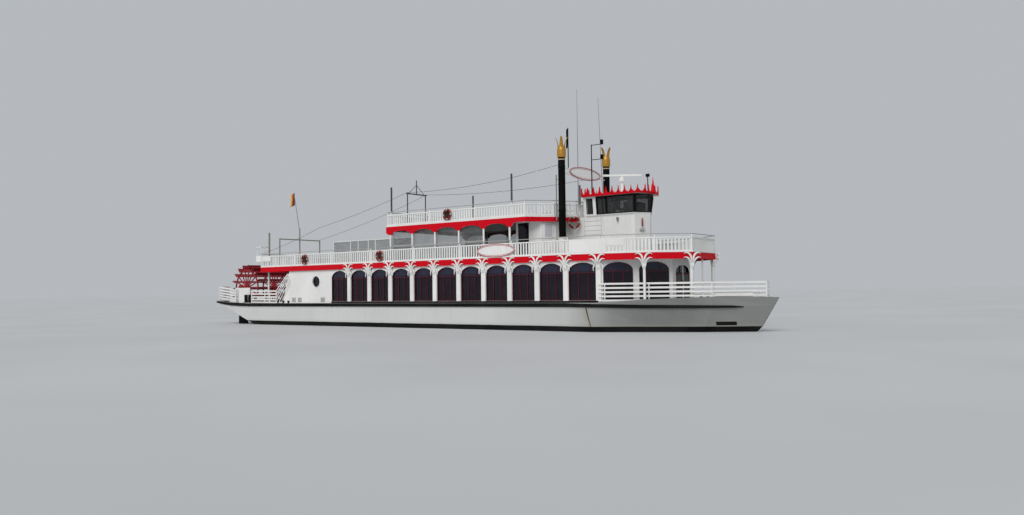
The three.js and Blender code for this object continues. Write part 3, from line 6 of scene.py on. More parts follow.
import bpy
from mathutils import Matrix, Vector


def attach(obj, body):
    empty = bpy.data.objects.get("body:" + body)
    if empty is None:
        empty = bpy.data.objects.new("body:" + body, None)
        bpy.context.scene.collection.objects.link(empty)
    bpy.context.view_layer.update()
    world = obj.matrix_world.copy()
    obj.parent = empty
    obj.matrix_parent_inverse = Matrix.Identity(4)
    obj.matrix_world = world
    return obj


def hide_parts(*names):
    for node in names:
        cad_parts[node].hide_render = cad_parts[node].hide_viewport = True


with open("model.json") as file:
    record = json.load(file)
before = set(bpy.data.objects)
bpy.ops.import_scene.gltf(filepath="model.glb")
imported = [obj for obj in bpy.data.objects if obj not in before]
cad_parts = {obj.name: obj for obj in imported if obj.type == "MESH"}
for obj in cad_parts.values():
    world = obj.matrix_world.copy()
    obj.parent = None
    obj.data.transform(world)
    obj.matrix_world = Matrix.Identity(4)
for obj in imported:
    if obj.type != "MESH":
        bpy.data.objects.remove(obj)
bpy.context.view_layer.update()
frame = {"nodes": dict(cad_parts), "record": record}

# Full-size coordinates: x forward from window column zero, y to port, z above the waterline, in metres
SCALE = 0.5
AMIDSHIPS_X = 6.71
DRAFT = 1.2
SIDES = (("starboard", -1), ("port", 1))
AHEAD, ASIDE, UP = (1, 0, 0), (0, 1, 0), (0, 0, 1)


def mirrored(half):
    """A closed plan outline from its starboard half, given from aft to fore."""
    return half + [(x, -y) for x, y in reversed(half)]


# Camera
PHOTO_W = 1024
FOCAL_PX = 850
SENSOR_MM = 36
CAMERA_AT = (44.65, -44.32, 2.36)
CAMERA_YAW = math.radians(37.04)
CAMERA_PITCH = math.radians(2.22)
CAMERA_ROLL = math.radians(-0.69)
VIEW_END = 1000

# Hull: rows of x with the low and the high edge of the black strake, rows of x with the share of painted
# shade at the bow, limits in length and level of the bow thruster's mark, and in length and breadth of the
# bollards
STRAKE = [
    (-15.42, 1.67, 1.81), (-14.5, 1.54, 1.74), (-13.5, 1.45, 1.68), (-12.5, 1.41, 1.65), (-11.2, 1.39, 1.61),
    (18, 1.39, 1.61), (19.8, 1.37, 1.56), (22.25, 1.31, 1.49), (24.75, 1.296, 1.456), (26.7, 1.3, 1.42),
    (27.2, 1.32, 1.37),
]
STRAKE_END_X = 27.22
# The grey share at the bow is painted shade and painted dark reflection of the water
BOW_SHADE_SHARE = [(11, 0), (18.0, 0.25), (20.8, 0.9), (22.5, 1), (24.6, 1), (26.5, 0.85)]
BOOT_Z = 0.285
TUNNEL_X = (25.88, 26.8)
TUNNEL_Z = (0.36, 0.56)
BOLLARDS = [((-12.06, -11.2), (3.72, 4.045)), ((24.88, 25.52), (None, 1.6))]

# Scratch down the side abaft the bow: its x at the waterline, its lean, and the levels it runs between
SCRATCH_X = 19.72
SCRATCH_LEAN = -0.27
SCRATCH_Z = (0.3, 1.36)

# Main deck
DECK_Z = 1.62
HOUSE_HALF = 3.95
HOUSE_BEND_X = 18.3
HOUSE_CORNER = (20.1, 3.66)
HOUSE_FRONT = (23.32, 1.25)
BAY = 2.0
BAYS = 10
COLUMN_W = 0.32
GLAZED_AFT_X = -1.9
SILL_Z = 1.74
SPRING_Z = 3.35
TAPER_SPRING_Z = 3.42
ARCH_TOP_Z = 3.9
PORTHOLE = (-3.52, 3.16, 0.42)
VENTS_X = (-6.0, -5.33, -2.8)

# Upper deck
UPPER_Z = 4.34
UPPER_RAIL_Z = 5.17
UPPER_OUTLINE = mirrored([
    (-9.8, -4.06), (18.2, -4.06), (20.2, -3.83), (21.6, -3.42), (23.1, -2.87), (24.66, -1.5),
])

# Sun deck
SUN_Z = 6.76
SUN_POST_X = [4, 6, 8, 10, 12]
SCREEN_Y = 3.81
SUN_OUTLINE = mirrored([
    (3.63, -3.96), (15.2, -3.96), (15.75, -3.2), (16.35, -2.6), (16.6, -1.8), (17.1, -1.3),
])

# Wheelhouse and its roof
CAB_DARK_X, CAB_DARK_Z = 18.3, 6.80
CAB_FOOT_Z = 6.7
CAB_LEAN = 0.12
CAB_BARS_Z = (6.83, 7.80)
HELM_X, HELM_Z = 19.98, 7.45
ROOF_OUTLINE = mirrored([(17.41, -1.3), (21.24, -1.3), (21.49, -0.8)])
ROOF_LOW_Z = 7.88
SCALLOP_Z = 8.0
SPIKE_Z = 8.42
TALL_SPIKE_Z = 8.84
SPIKE_PITCH = 0.42

# Funnels
FUNNEL_X = 16.9
FUNNEL_Y = 2.57
FUNNEL_R = 0.21
DRAIN_X = 16.5
CROWN_FOOT_Z = 10.18
PETAL_FOOT_Z = 10.84
CROWN_TIP_Z = 11.42
CROWN_RADII = [
    (10.18, 0.215), (10.22, 0.25), (10.38, 0.265), (10.6, 0.262), (10.88, 0.215), (11.12, 0.25),
    (11.42, 0.36),
]
PETAL_TURN = {"starboard": math.radians(-56.4), "port": math.radians(-14.4)}

# Life rings: place, middle and turn in plan on the starboard side
RING_R = 0.3
RING_STAND = 0.0674
RING_SLANT = RING_STAND / math.sqrt(2)
LIFE_RINGS = [
    ("quarter", -4.59, 4.05 + RING_STAND, 4.79, 0.0),
    ("waist", 3.14, 4.05 + RING_STAND, 4.79, 0.0),
    ("sun_deck", 9.09, 3.90 + RING_STAND, 7.21, 0.0),
    ("fore", 16.97 + RING_SLANT, 1.43 + RING_SLANT, 6.38, math.pi / 4),
]

# Paddle wheel
WHEEL_X = -13.55
WHEEL_Z = 2.8
WHEEL_RING_Y = (-2.6, 0, 2.6)
WHEEL_BOARDS = 18

# Lamp strings: each run has its ends, its sag and a number of steps
LAMP_RUNS = {
    "starboard": [
        ((16.67, -2.57, 9.78), (3.94, -2.28, 9.15), 0.33, 24),
        ((3.94, -2.28, 9.15), (-3.3, -3.85, 7.04), 0.12, 14),
        ((-3.3, -3.85, 7.04), (-9.75, -3.95, 5.4), 0.12, 12),
    ],
    "port": [
        ((16.67, 2.57, 9.6), (3.94, -0.32, 9.15), 0.3, 24),
        ((3.94, -0.32, 9.15), (-9.66, 1.56, 6.66), 0.2, 26),
    ],
}


def at(x, y, z):
    """A full-size point in the frame of the model."""
    return Vector(((x - AMIDSHIPS_X) * SCALE, y * SCALE, (z + DRAFT) * SCALE))


def link(name, data):
    """A new object in the scene."""
    made = bpy.data.objects.new(name, data)
    bpy.context.scene.collection.objects.link(made)
    return made


# Camera, ahead of all pieces
def make_camera():
    sin_yaw, cos_yaw = math.sin(CAMERA_YAW), math.cos(CAMERA_YAW)
    ahead = Vector((
        -sin_yaw * math.cos(CAMERA_PITCH),
        cos_yaw * math.cos(CAMERA_PITCH),
        math.sin(CAMERA_PITCH),
    ))
    side = ahead.cross(Vector(UP)).normalized()
    top = side.cross(ahead)
    right = math.cos(CAMERA_ROLL) * side + math.sin(CAMERA_ROLL) * top
    up = -math.sin(CAMERA_ROLL) * side + math.cos(CAMERA_ROLL) * top
    data = bpy.data.cameras.new("camera")
    data.sensor_width = SENSOR_MM
    data.lens = FOCAL_PX / PHOTO_W * SENSOR_MM
    data.clip_end = VIEW_END
    camera = link("camera", data)
    turn = Matrix((right, up, -ahead)).transposed()
    camera.matrix_world = Matrix.Translation(at(*CAMERA_AT)) @ turn.to_4x4()
    bpy.context.scene.camera = camera


make_camera()


# Materials
class Graph:
    """Nodes of one material, with the point on the object in full-size metres."""

    def __init__(self, name):
        self.material = bpy.data.materials.new(name)
        self.material.use_nodes = True
        self.tree = self.material.node_tree
        self.tree.nodes.clear()
        self.bsdf = self.node("BsdfPrincipled")
        self.node("OutputMaterial", Surface=self.bsdf.outputs[0])
        self.point = self.node("TexCoord").outputs["Object"]
        x, y, z = self.node("SeparateXYZ", Vector=self.point).outputs
        self.x = self.math("MULTIPLY_ADD", x, 1 / SCALE, AMIDSHIPS_X)
        self.z = self.math("MULTIPLY_ADD", z, 1 / SCALE, -DRAFT)
        self.half = self.math("ABSOLUTE", self.math("MULTIPLY", y, 1 / SCALE))
        normal = self.node("NewGeometry").outputs["True Normal"]
        self.up = self.node("SeparateXYZ", Vector=normal).outputs[2]

    def put(self, socket, value):
        if isinstance(value, bpy.types.NodeSocket):
            self.tree.links.new(value, socket)
        elif socket.type == "RGBA":
            socket.default_value = (*value, 1)
        else:
            socket.default_value = value

    def fill(self, made, **values):
        """Numbers, colours or links for the inputs of those names, with an underscore for each space."""
        for name, value in values.items():
            self.put(made.inputs[name.replace("_", " ")], value)
        return made

    def node(self, kind, **values):
        return self.fill(self.tree.nodes.new("ShaderNode" + kind), **values)

    def math(self, operation, *values):
        made = self.node("Math")
        made.operation = operation
        for socket, value in zip(made.inputs, values):
            self.put(socket, value)
        return made.outputs[0]

    def join(self, operation, masks):
        total = masks[0]
        for mask in masks[1:]:
            total = self.math(operation, total, mask)
        return total

    def both(self, *masks):
        return self.join("MULTIPLY", masks)

    def either(self, *masks):
        return self.join("MAXIMUM", masks)

    def zone(self, **limits):
        """Mask of a region. Each limit on x, z, half or up is a low and a high edge, None where open."""
        masks = []
        for axis, edges in limits.items():
            for test, edge in zip(("GREATER_THAN", "LESS_THAN"), edges):
                if edge is not None:
                    masks.append(self.math(test, getattr(self, axis), edge))
        return self.both(*masks)

    def noise(self, size, detail=3, stretch=(1, 1, 1)):
        """Noise with features of about that size in model metres."""
        place = self.node("Mapping", Scale=stretch, Vector=self.point).outputs[0]
        return self.node("TexNoise", Scale=1 / size, Detail=detail, Vector=place).outputs["Fac"]

    def fade(self, value, low, high, top=1.0, curve="SMOOTHSTEP"):
        made = self.node("MapRange", Value=value, From_Min=low, From_Max=high, To_Max=top)
        made.interpolation_type = curve
        return made.outputs[0]

    def ramp(self, value, rows):
        """Straight runs between rows of value and result, level outside them."""
        total = rows[0][1]
        for (low, before), (high, after) in zip(rows, rows[1:]):
            if before != after:
                total = self.math("ADD", total, self.fade(value, low, high, after - before, "LINEAR"))
        return total

    def mix(self, share, first, second):
        made = self.node("Mix")
        made.data_type = "RGBA"
        colours = [s for s in made.inputs if s.type == "RGBA"]
        for socket, value in zip([made.inputs[0], *colours], (share, first, second)):
            self.put(socket, value)
        return [s for s in made.outputs if s.type == "RGBA"][0]

    def bump(self, height, distance, strength):
        made = self.node("Bump", Strength=strength, Distance=distance, Height=height)
        self.fill(self.bsdf, Normal=made.outputs[0])


def shade(colour, factor):
    return tuple(c * factor for c in colour)


def worn(
    graph, colour, wear=0.25, dirt=(0.30, 0.28, 0.25), rough=0.45, streak=(7, 7, 0.5), shine=0.5, black=None,
    metal=0,
):
    """Colour that varies by patches, with faint vertical runs and specks of dirt. black is a mask of the
    parts in black paint, and of window and door openings painted black as shade, which take little of the
    dirt."""
    patches = graph.fade(graph.noise(0.9, 4), 0.35, 0.65)
    base = colour
    if isinstance(colour, tuple):
        base = graph.mix(patches, shade(colour, 0.93), shade(colour, 1.04))
    runs = graph.fade(graph.noise(0.35, 5, streak), 0.52, 0.78, wear)
    specks = graph.fade(graph.noise(0.05, 3), 0.66, 0.76, wear * 0.8)
    soiled = graph.mix(graph.either(runs, specks), base, dirt)
    if black is not None:
        soiled = graph.mix(black, soiled, graph.mix(patches, (0.004, 0.004, 0.004), (0.011, 0.010, 0.010)))
        shine = graph.math("MULTIPLY_ADD", black, 0.1 - shine, shine)
    roughness = graph.math("MULTIPLY_ADD", graph.noise(0.12, 4), 0.25, rough - 0.12)
    graph.fill(graph.bsdf, Base_Color=soiled, Roughness=roughness, Specular_IOR_Level=shine, Metallic=metal)
    graph.bump(graph.noise(0.02, 4), 0.0015, 0.25)
    return graph.material


def paint(name, colour, **options):
    return worn(Graph(name), colour, **options)


WHITE = (0.76, 0.76, 0.745)
RAIL_WHITE = shade(WHITE, 0.97)
HULL_WHITE = (0.60, 0.61, 0.605)
# Grey painted onto the bow's sides as shade and dark reflection of the water
BOW_SHADE_GREY = (0.165, 0.172, 0.166)
DECK_GREY = (0.20, 0.22, 0.21)
# Grey on faces that point down, painted shade under the decks
CEILING_SHADE_GREY = (0.52, 0.53, 0.50)
CAP_GREY = (0.33, 0.32, 0.31)
POLE_BROWN = (0.05, 0.042, 0.038)
RED = (0.56, 0.001, 0.010)
RUST = (0.20, 0.075, 0.025)
DULL_RED = (0.12, 0.01, 0.015)
FLAG_BANDS = [(0.02, 0.02, 0.02), (0.50, 0.02, 0.02), (0.72, 0.42, 0.03)]

white_paint = paint("white_paint", WHITE)
rail_paint = paint("rail_paint", RAIL_WHITE, wear=0.18)
vent_grey = paint("vent_grey", (0.42, 0.42, 0.41), wear=0.3)
# Pale grey for the small cabin windows: a painted sky reflection on their glass
sky_reflection_grey = paint("sky_reflection_grey", (0.50, 0.50, 0.54), wear=0.15)
trim_red = paint("trim_red", RED, wear=0.12, dirt=DULL_RED, shine=0.1)
dark_red = paint("dark_red", (0.22, 0.012, 0.022), wear=0.2)
board_red = paint("board_red", (0.42, 0.05, 0.07), wear=0.15, shine=0.3)
maroon = paint("maroon_frames", (0.15, 0.016, 0.032), wear=0.1, dirt=(0.03, 0.01, 0.01), shine=0.15)
wheel_red = paint(
    "wheel_red", (0.30, 0.014, 0.022), wear=0.55, dirt=(0.055, 0.035, 0.03), streak=(3, 3, 1), shine=0.3,
)
black_paint = paint(
    "black_paint", (0.003, 0.003, 0.003), wear=0.1, dirt=(0.014, 0.013, 0.012), rough=0.6, shine=0.06,
)
steel_paint = paint("grey_steel", (0.21, 0.22, 0.225), wear=0.3, dirt=RUST)
dark_steel = paint("dark_steel", (0.07, 0.068, 0.066), wear=0.3, dirt=(0.12, 0.08, 0.05), shine=0.25)
timber = paint("timber", (0.22, 0.12, 0.06), wear=0.35, streak=(9, 9, 0.6))
pale_timber = paint("pale_timber", (0.27, 0.25, 0.20), wear=0.35, dirt=(0.12, 0.10, 0.07))
ring_red = paint("ring_red", (0.22, 0.018, 0.015), wear=0.45, dirt=(0.06, 0.02, 0.015), shine=0.2)
ring_white = paint("ring_white", (0.36, 0.30, 0.26), wear=0.4)
ring_shade = paint("ring_shade", (0.035, 0.022, 0.020), wear=0.2, rough=0.8, shine=0.1)
bulb = paint("bulb_glass", (0.70, 0.68, 0.60), wear=0.1, rough=0.25)
wire = paint("wire", (0.03, 0.03, 0.033), wear=0.1, shine=0.1)
gold = paint("gold_leaf", (0.46, 0.24, 0.03), wear=0.35, dirt=(0.16, 0.07, 0.02), rough=0.38, metal=0.45)
pale_brass = paint("pale_brass", (0.42, 0.33, 0.2), wear=0.3, rough=0.4)
bronze = paint("bronze", (0.45, 0.28, 0.10), wear=0.5, dirt=(0.08, 0.12, 0.09), rough=0.35, metal=0.9)


def hull_material():
    """White sides darkened to grey at the bow by painted shade and painted dark water reflection, black
    strake, boot top and bollards, and grey decks.
    """
    graph = Graph("hull_finish")
    # Painted shade and painted dark water reflection: the sides turn grey towards the bow
    side = graph.mix(graph.ramp(graph.x, BOW_SHADE_SHARE), HULL_WHITE, BOW_SHADE_GREY)
    side = graph.mix(graph.fade(graph.noise(1.4, 3), 0.3, 0.7, 0.12), side, (0.30, 0.31, 0.30))
    boot = graph.zone(z=(None, graph.math("MULTIPLY_ADD", graph.noise(0.5, 3), 0.03, BOOT_Z)))
    scum_line = graph.both(graph.zone(z=(0.27, None)), graph.fade(graph.z, 0.5, 0.3), 0.25)
    side = graph.mix(scum_line, side, (0.30, 0.29, 0.22))
    runs = graph.fade(graph.noise(0.16, 4, (5, 5, 0.22)), 0.56, 0.78, 0.25)
    side = graph.mix(runs, side, (0.36, 0.34, 0.31))
    scratch_x = graph.math("MULTIPLY_ADD", graph.z, SCRATCH_LEAN, SCRATCH_X)
    off_scratch = graph.math("ABSOLUTE", graph.math("SUBTRACT", graph.x, scratch_x))
    on_side = graph.zone(z=SCRATCH_Z)
    patchy = graph.fade(graph.noise(0.2, 3), 0.3, 0.6)
    stain = graph.both(on_side, graph.fade(off_scratch, 0.42, 0.05, 0.45), patchy)
    side = graph.mix(stain, side, (0.30, 0.27, 0.17))
    scratch = graph.both(on_side, graph.fade(off_scratch, 0.05, 0.025))
    mark = graph.mix(graph.fade(graph.z, 0.9, 0.5), (0.012, 0.011, 0.01), (0.09, 0.08, 0.05))
    side = graph.mix(scratch, side, mark)
    lower_edge = graph.ramp(graph.x, [(x, low - 0.004) for x, low, high in STRAKE])
    upper_edge = graph.ramp(graph.x, [(x, high + 0.003) for x, low, high in STRAKE])
    strake = graph.zone(z=(lower_edge, upper_edge), x=(None, STRAKE_END_X), half=(0.6, None))
    tunnel = graph.zone(x=TUNNEL_X, z=TUNNEL_Z)
    deck = graph.zone(up=(0.9, None), z=(1.55, None))
    bollards = graph.either(*[graph.zone(x=x, half=half) for x, half in BOLLARDS])
    black = graph.either(
        graph.both(graph.either(boot, strake, tunnel), graph.math("SUBTRACT", 1, deck)),
        graph.both(bollards, graph.zone(z=(DECK_Z + 0.04, None))),
    )
    return worn(graph, graph.mix(deck, side, DECK_GREY), wear=0.1, rough=0.5, black=black)


def saloon_material():
    """White walls with window reveals, the front doorway and its transom painted black as shade, and a black
    strip along the foot of the glazed part.
    """
    graph = Graph("saloon_finish")
    outer = HOUSE_HALF
    for start, slope in ((HOUSE_BEND_X, 0.1611), (HOUSE_CORNER[0], 0.5873)):
        past = graph.math("MAXIMUM", graph.math("SUBTRACT", graph.x, start), 0)
        outer = graph.math("SUBTRACT", outer, graph.math("MULTIPLY", past, slope))
    depth = graph.math("SUBTRACT", outer, graph.half)
    arched = graph.zone(x=(GLAZED_AFT_X, HOUSE_FRONT[0] - 0.12), z=(SILL_Z + 0.005, ARCH_TOP_Z + 0.005))
    # Reveals, doorway and transom: the openings painted black as shade
    shaded_reveal = graph.both(graph.math("GREATER_THAN", depth, 0.02), arched)
    shaded_doorway = graph.zone(x=(23.1, 23.305), half=(None, 1.1), z=(None, 3.75))
    shaded_transom = graph.zone(x=(23.3, None), half=(None, 0.86), z=(3.18, 3.3))
    foot = graph.zone(x=(GLAZED_AFT_X, 20.0), z=(None, SILL_Z - 0.005))
    return worn(graph, WHITE, wear=0.1, black=graph.either(shaded_reveal, shaded_doorway, shaded_transom, foot))


def funnel_board_material():
    """White board, raised above the other white paint as painted light against its shade, with its pennant
    pole in dark paint.
    """
    graph = Graph("funnel_board_finish")
    # White raised by 1.15: painted light to lift a board face that sits in shade
    return worn(graph, shade(WHITE, 1.15), wear=0.08, black=graph.zone(half=(1.79, None), z=(9.65, None)))


def rail_material(name, *cap):
    """White rail with a worn grey handrail on top, and light poles in dark paint above it."""
    graph = Graph(name)
    colour = graph.mix(graph.zone(z=cap), RAIL_WHITE, CAP_GREY)
    colour = graph.mix(graph.zone(z=(7.75, None)), colour, POLE_BROWN)
    return worn(graph, colour, wear=0.18)


def deck_band_material(name, low, high, plate_z):
    """Red fascia between two levels, grey walking surface, downward faces in darker grey as painted shade,
    and white posts below.
    """
    graph = Graph(name)
    walked = graph.zone(up=(0.7, None), z=(plate_z, None))
    # Downward faces get a darker grey: painted shade on the decks' undersides
    shaded_ceiling = graph.zone(up=(None, -0.7), z=(low + 0.03, None))
    colour = graph.mix(graph.zone(z=(low, high)), WHITE, RED)
    colour = graph.mix(shaded_ceiling, graph.mix(walked, colour, DECK_GREY), CEILING_SHADE_GREY)
    return worn(graph, colour, wear=0.06, dirt=(0.16, 0.06, 0.06), shine=0.1)


def wheelhouse_material():
    """White walls, dark round the windows of the fore part."""
    graph = Graph("wheelhouse_finish")
    dark = graph.zone(x=(CAB_DARK_X, None), z=(CAB_DARK_Z, None))
    return worn(graph, graph.mix(dark, WHITE, (0.008, 0.008, 0.008)), wear=0.1, shine=0.3)


def glass_material(name, colour, alpha, fanlight_reflection=None):
    """Tinted glass with faint smears. The fanlight colour is a bluish sky reflection painted onto the arched
    heads of the saloon windows.
    """
    graph = Graph(name)
    smears = graph.fade(graph.noise(0.3, 4), 0.4, 0.7)
    tint_and_reflection = graph.mix(smears, shade(colour, 0.8), shade(colour, 1.25))
    if fanlight_reflection:
        # Painted sky reflection: a bluish colour on the arched heads of the saloon windows
        upper = graph.both(graph.fade(graph.z, 3.25, 3.5, 0.8), graph.zone(z=(None, 4.2)))
        tint_and_reflection = graph.mix(upper, tint_and_reflection, fanlight_reflection)
    rough = graph.math("MULTIPLY_ADD", smears, 0.07, 0.04)
    graph.fill(graph.bsdf, Base_Color=tint_and_reflection, Roughness=rough, Specular_IOR_Level=0.3, Alpha=alpha)
    graph.bump(graph.noise(0.6, 2), 0.002, 0.1)
    return graph.material


def flag_material():
    """Three plain bands across the width of the cloth."""
    graph = Graph("flag_cloth")
    width = graph.node("Attribute")
    width.attribute_name = "band"
    colour = FLAG_BANDS[0]
    for edge, band in zip((0.333, 0.667), FLAG_BANDS[1:]):
        past = graph.math("GREATER_THAN", width.outputs["Fac"], edge)
        colour = graph.mix(past, colour, band)
    worn(graph, colour, wear=0.1, rough=0.85)
    graph.bump(graph.noise(0.004, 2), 0.001, 0.4)
    return graph.material


hull_finish = hull_material()
# The last colour is a painted sky reflection on the arched heads of the saloon windows
dark_glass = glass_material("dark_glass", (0.008, 0.005, 0.010), 0.95, (0.022, 0.030, 0.058))
clear_glass = glass_material("clear_glass", (0.16, 0.17, 0.17), 0.38)
flag_cloth = flag_material()

NODE_FINISH = {
    "saloon_walls": saloon_material(),
    "upper_deck": deck_band_material("upper_deck_finish", 3.972, 4.345, 4.2),
    "sun_deck": deck_band_material("sun_deck_finish", 6.15, 6.705, 6.7),
    "wheelhouse_walls": wheelhouse_material(),
    "wheelhouse_glass": glass_material("cab_glass", (0.05, 0.055, 0.055), 0.45),
    "upper_rail": rail_material("upper_rail_finish", 5.32, 5.45),
    "sun_rail": rail_material("sun_rail_finish", 7.64, 7.75),
    "stern_pole": pale_timber,
    "ensign_staff": pale_timber,
    "funnel_name_board": funnel_board_material(),
    "light_mast": dark_steel,
    "signal_mast": black_paint,
}
SLOT_FINISH = {
    "white_paint": white_paint,
    "hull_paint": hull_finish,
    "red_paint": trim_red,
    "wheel_paint": wheel_red,
    "black_paint": black_paint,
    "bronze": bronze,
    "dark_glass": dark_glass,
    "clear_sheet": clear_glass,
    "steel": steel_paint,
    "timber": timber,
    "cloth": flag_cloth,
    "ring_plastic": ring_red,
}


def finish_nodes():
    slots = {row["node"]: row["material_slot"] for row in frame["record"]["subparts"]}
    for name, node in frame["nodes"].items():
        material = NODE_FINISH.get(name) or SLOT_FINISH[slots[name]]
        node.data.materials.clear()
        node.data.materials.append(material)


finish_nodes()


# Shapes
def circle(count, radius=1):
    """Even places round a circle, each as a pair of distances from its middle."""
    turns = [2 * math.pi * k / count for k in range(count)]
    return [(radius * math.cos(turn), radius * math.sin(turn)) for turn in turns]


def hoop(x, y, z, radius, count):
    """Points of an upright circle that faces sideways."""
    return [(x + u, y, z + v) for u, v in circle(count, radius)]


def skin(rows, sides, closed=False):
    """Faces between rows of points that each go once round."""
    faces = []
    for row in range(rows if closed else rows - 1):
        near, far = row * sides, (row + 1) % rows * sides
        for k in range(sides):
            other = (k + 1) % sides
            faces.append((near + k, near + other, far + other, far + k))
    return faces


def caps(rows, sides):
    """End faces of a skin."""
    return [tuple(reversed(range(sides))), tuple(range((rows - 1) * sides, rows * sides))]


def neighbours(path, closed):
    """Each point of a path between the one before and the one after. The ends of an open path repeat."""
    first, last = (path[-1], path[0]) if closed else (path[0], path[-1])
    return zip([first, *path[:-1]], path, [*path[1:], last])


class Shape:
    """Faces gathered in full-size metres and made into one piece of the model."""

    def __init__(self):
        self.points = []
        self.faces = []
        self.marks = []

    def add(self, points, faces, marks=None):
        base = len(self.points)
        self.points.extend(points)
        self.faces.extend([[base + i for i in face] for face in faces])
        self.marks.extend(marks or [0] * len(faces))

    def block(self, x0, x1, y0, y1, z0, z1):
        points = [(x, y, z) for z in (z0, z1) for y in (y0, y1) for x in (x0, x1)]
        self.add(points, [(0, 2, 3, 1), (4, 5, 7, 6), (0, 1, 5, 4), (2, 6, 7, 3), (0, 4, 6, 2), (1, 3, 7, 5)])

    def side_block(self, sign, x0, x1, near, far, z0, z1):
        """A block on one side of the boat, between two distances from the centreline."""
        self.block(x0, x1, *sorted((sign * near, sign * far)), z0, z1)

    def lattice(self, sign, depth, posts, post, rails, rail):
        """Upright posts, then level rails, on one side of the boat. depth is two distances from the
        centreline, post is width, foot and head, and rail is height and both ends."""
        width, foot, head = post
        for x in posts:
            self.side_block(sign, x, x + width, *depth, foot, head)
        height, start, end = rail
        for z in rails:
            self.side_block(sign, start, end, *depth, z, z + height)

    def upright(self, plan, z0, z1):
        """A plan outline, counter-clockwise, raised between two levels."""
        count = len(plan)
        points = [(x, y, z) for z in (z0, z1) for x, y in plan]
        self.add(points, caps(2, count) + skin(2, count))

    def sweep(self, path, sizes, across=UP, sides=8, closed=False, mark=0):
        """A bar along a path. sizes are half width in the plane and half depth along across."""
        path = [Vector(p) for p in path]
        count = len(path)
        if not isinstance(sizes, list):
            sizes = [sizes] * count
        points = []
        for (before, point, after), size in zip(neighbours(path, closed), sizes):
            along = (after - before).normalized()
            normal = Vector(across)
            if abs(normal.dot(along)) > 0.95:
                normal = Vector(AHEAD)
            side = along.cross(normal).normalized()
            normal = side.cross(along).normalized()
            wide, deep = size if isinstance(size, tuple) else (size, size)
            for k in range(sides):
                angle = 2 * math.pi * (k + 0.5) / sides
                points.append(point + side * (wide * math.cos(angle)) + normal * (deep * math.sin(angle)))
        faces = skin(count, sides, closed)
        if not closed:
            faces += caps(count, sides)
        self.add(points, faces, [mark] * len(faces))

    def lathe(self, profile, centre, sides=24):
        """Rows of radius and height turned about an upright line."""
        points = []
        for radius, z in profile:
            points += [(centre[0] + u, centre[1] + v, z) for u, v in circle(sides, radius)]
        self.add(points, skin(len(profile), sides) + caps(len(profile), sides))

    def make(self, name, materials, body="boat", slot="white_paint", replaces=(), smooth=35, bevel=0):
        mesh = bpy.data.meshes.new(name)
        mesh.from_pydata([at(*p) for p in self.points], [], self.faces)
        for material in materials if isinstance(materials, list) else [materials]:
            mesh.materials.append(material)
        mesh.polygons.foreach_set("material_index", self.marks)
        mesh.polygons.foreach_set("use_smooth", [True] * len(mesh.polygons))
        mesh.set_sharp_from_angle(angle=math.radians(smooth))
        mesh.validate()
        piece = link(name, mesh)
        if bevel:
            modifier = piece.modifiers.new("edge", "BEVEL")
            modifier.width = bevel * SCALE
            modifier.segments = 2
            modifier.limit_method = "ANGLE"
        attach(piece, body)
        if replaces:
            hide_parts(*replaces)
        return piece


def offset(path, distance, closed=False):
    """A plan line moved to the left of its run, with mitred corners."""
    moved = []
    for before, (x, y), after in neighbours(path, closed):
        normals = []
        for (x0, y0), (x1, y1) in ((before, (x, y)), ((x, y), after)):
            length = math.hypot(x1 - x0, y1 - y0)
            if length > 0:
                normals.append((-(y1 - y0) / length, (x1 - x0) / length))
        sum_x = sum(n[0] for n in normals) * (2 / len(normals))
        sum_y = sum(n[1] for n in normals) * (2 / len(normals))
        scale = 2 * distance / (sum_x ** 2 + sum_y ** 2)
        moved.append((x + sum_x * scale, y + sum_y * scale))
    return moved


def strip(shape, path, width, z0, z1, closed=False):
    """An upright band along a plan line, its width to the left of the run."""
    far = offset(path, width, closed)
    count = len(path)
    for i in range(count if closed else count - 1):
        j = (i + 1) % count
        shape.upright([path[i], path[j], far[j], far[i]], z0, z1)


def around(path, pitch):
    """Points and directions at even steps inside each run of a closed plan line."""
    for (x0, y0), (x1, y1) in zip(path, path[1:] + path[:1]):
        length = math.hypot(x1 - x0, y1 - y0)
        steps = max(1, round(length / pitch))
        for k in range(steps):
            share = (k + 0.5) / steps
            yield (x0 + (x1 - x0) * share, y0 + (y1 - y0) * share), ((x1 - x0) / length, (y1 - y0) / length)


def board(shape, centre, direction, width, thick, z0, z1):
    """An upright board that stands across its thickness on a plan line."""
    (x, y), (ux, uy) = centre, direction
    corners = []
    for a, b in ((-1, -1), (1, -1), (1, 1), (-1, 1)):
        u, v = a * width / 2, b * thick / 2
        corners.append((x + ux * u - uy * v, y + uy * u + ux * v))
    shape.upright(corners, z0, z1)


def beside(middle, run, out, along, stand, z):
    """A point near a place on a wall: along the wall's run, and standing out from it."""
    return (middle[0] + run[0] * along + out[0] * stand, middle[1] + run[1] * along + out[1] * stand, z)


# Rails
PICKET_PITCH = 0.2
PICKET_W = 0.1
PICKET_THICK = 0.022
# The sun deck's rail is open at the wheelhouse door: forward of this x and within this half breadth
RAIL_GAP = (16.9, 0.5)


def make_pickets():
    for name, outline, inset, z0, z1 in (
        ("upper_pickets", UPPER_OUTLINE, 0.04, 4.42, UPPER_RAIL_Z),
        ("sun_pickets", SUN_OUTLINE, 0.09, 6.84, 7.49),
    ):
        shape = Shape()
        for centre, direction in around(offset(outline, inset, True), PICKET_PITCH):
            in_gap = centre[0] > RAIL_GAP[0] and abs(centre[1]) < RAIL_GAP[1]
            if outline is UPPER_OUTLINE or not in_gap:
                board(shape, centre, direction, PICKET_W, PICKET_THICK, z0, z1)
        shape.make(name, rail_paint)


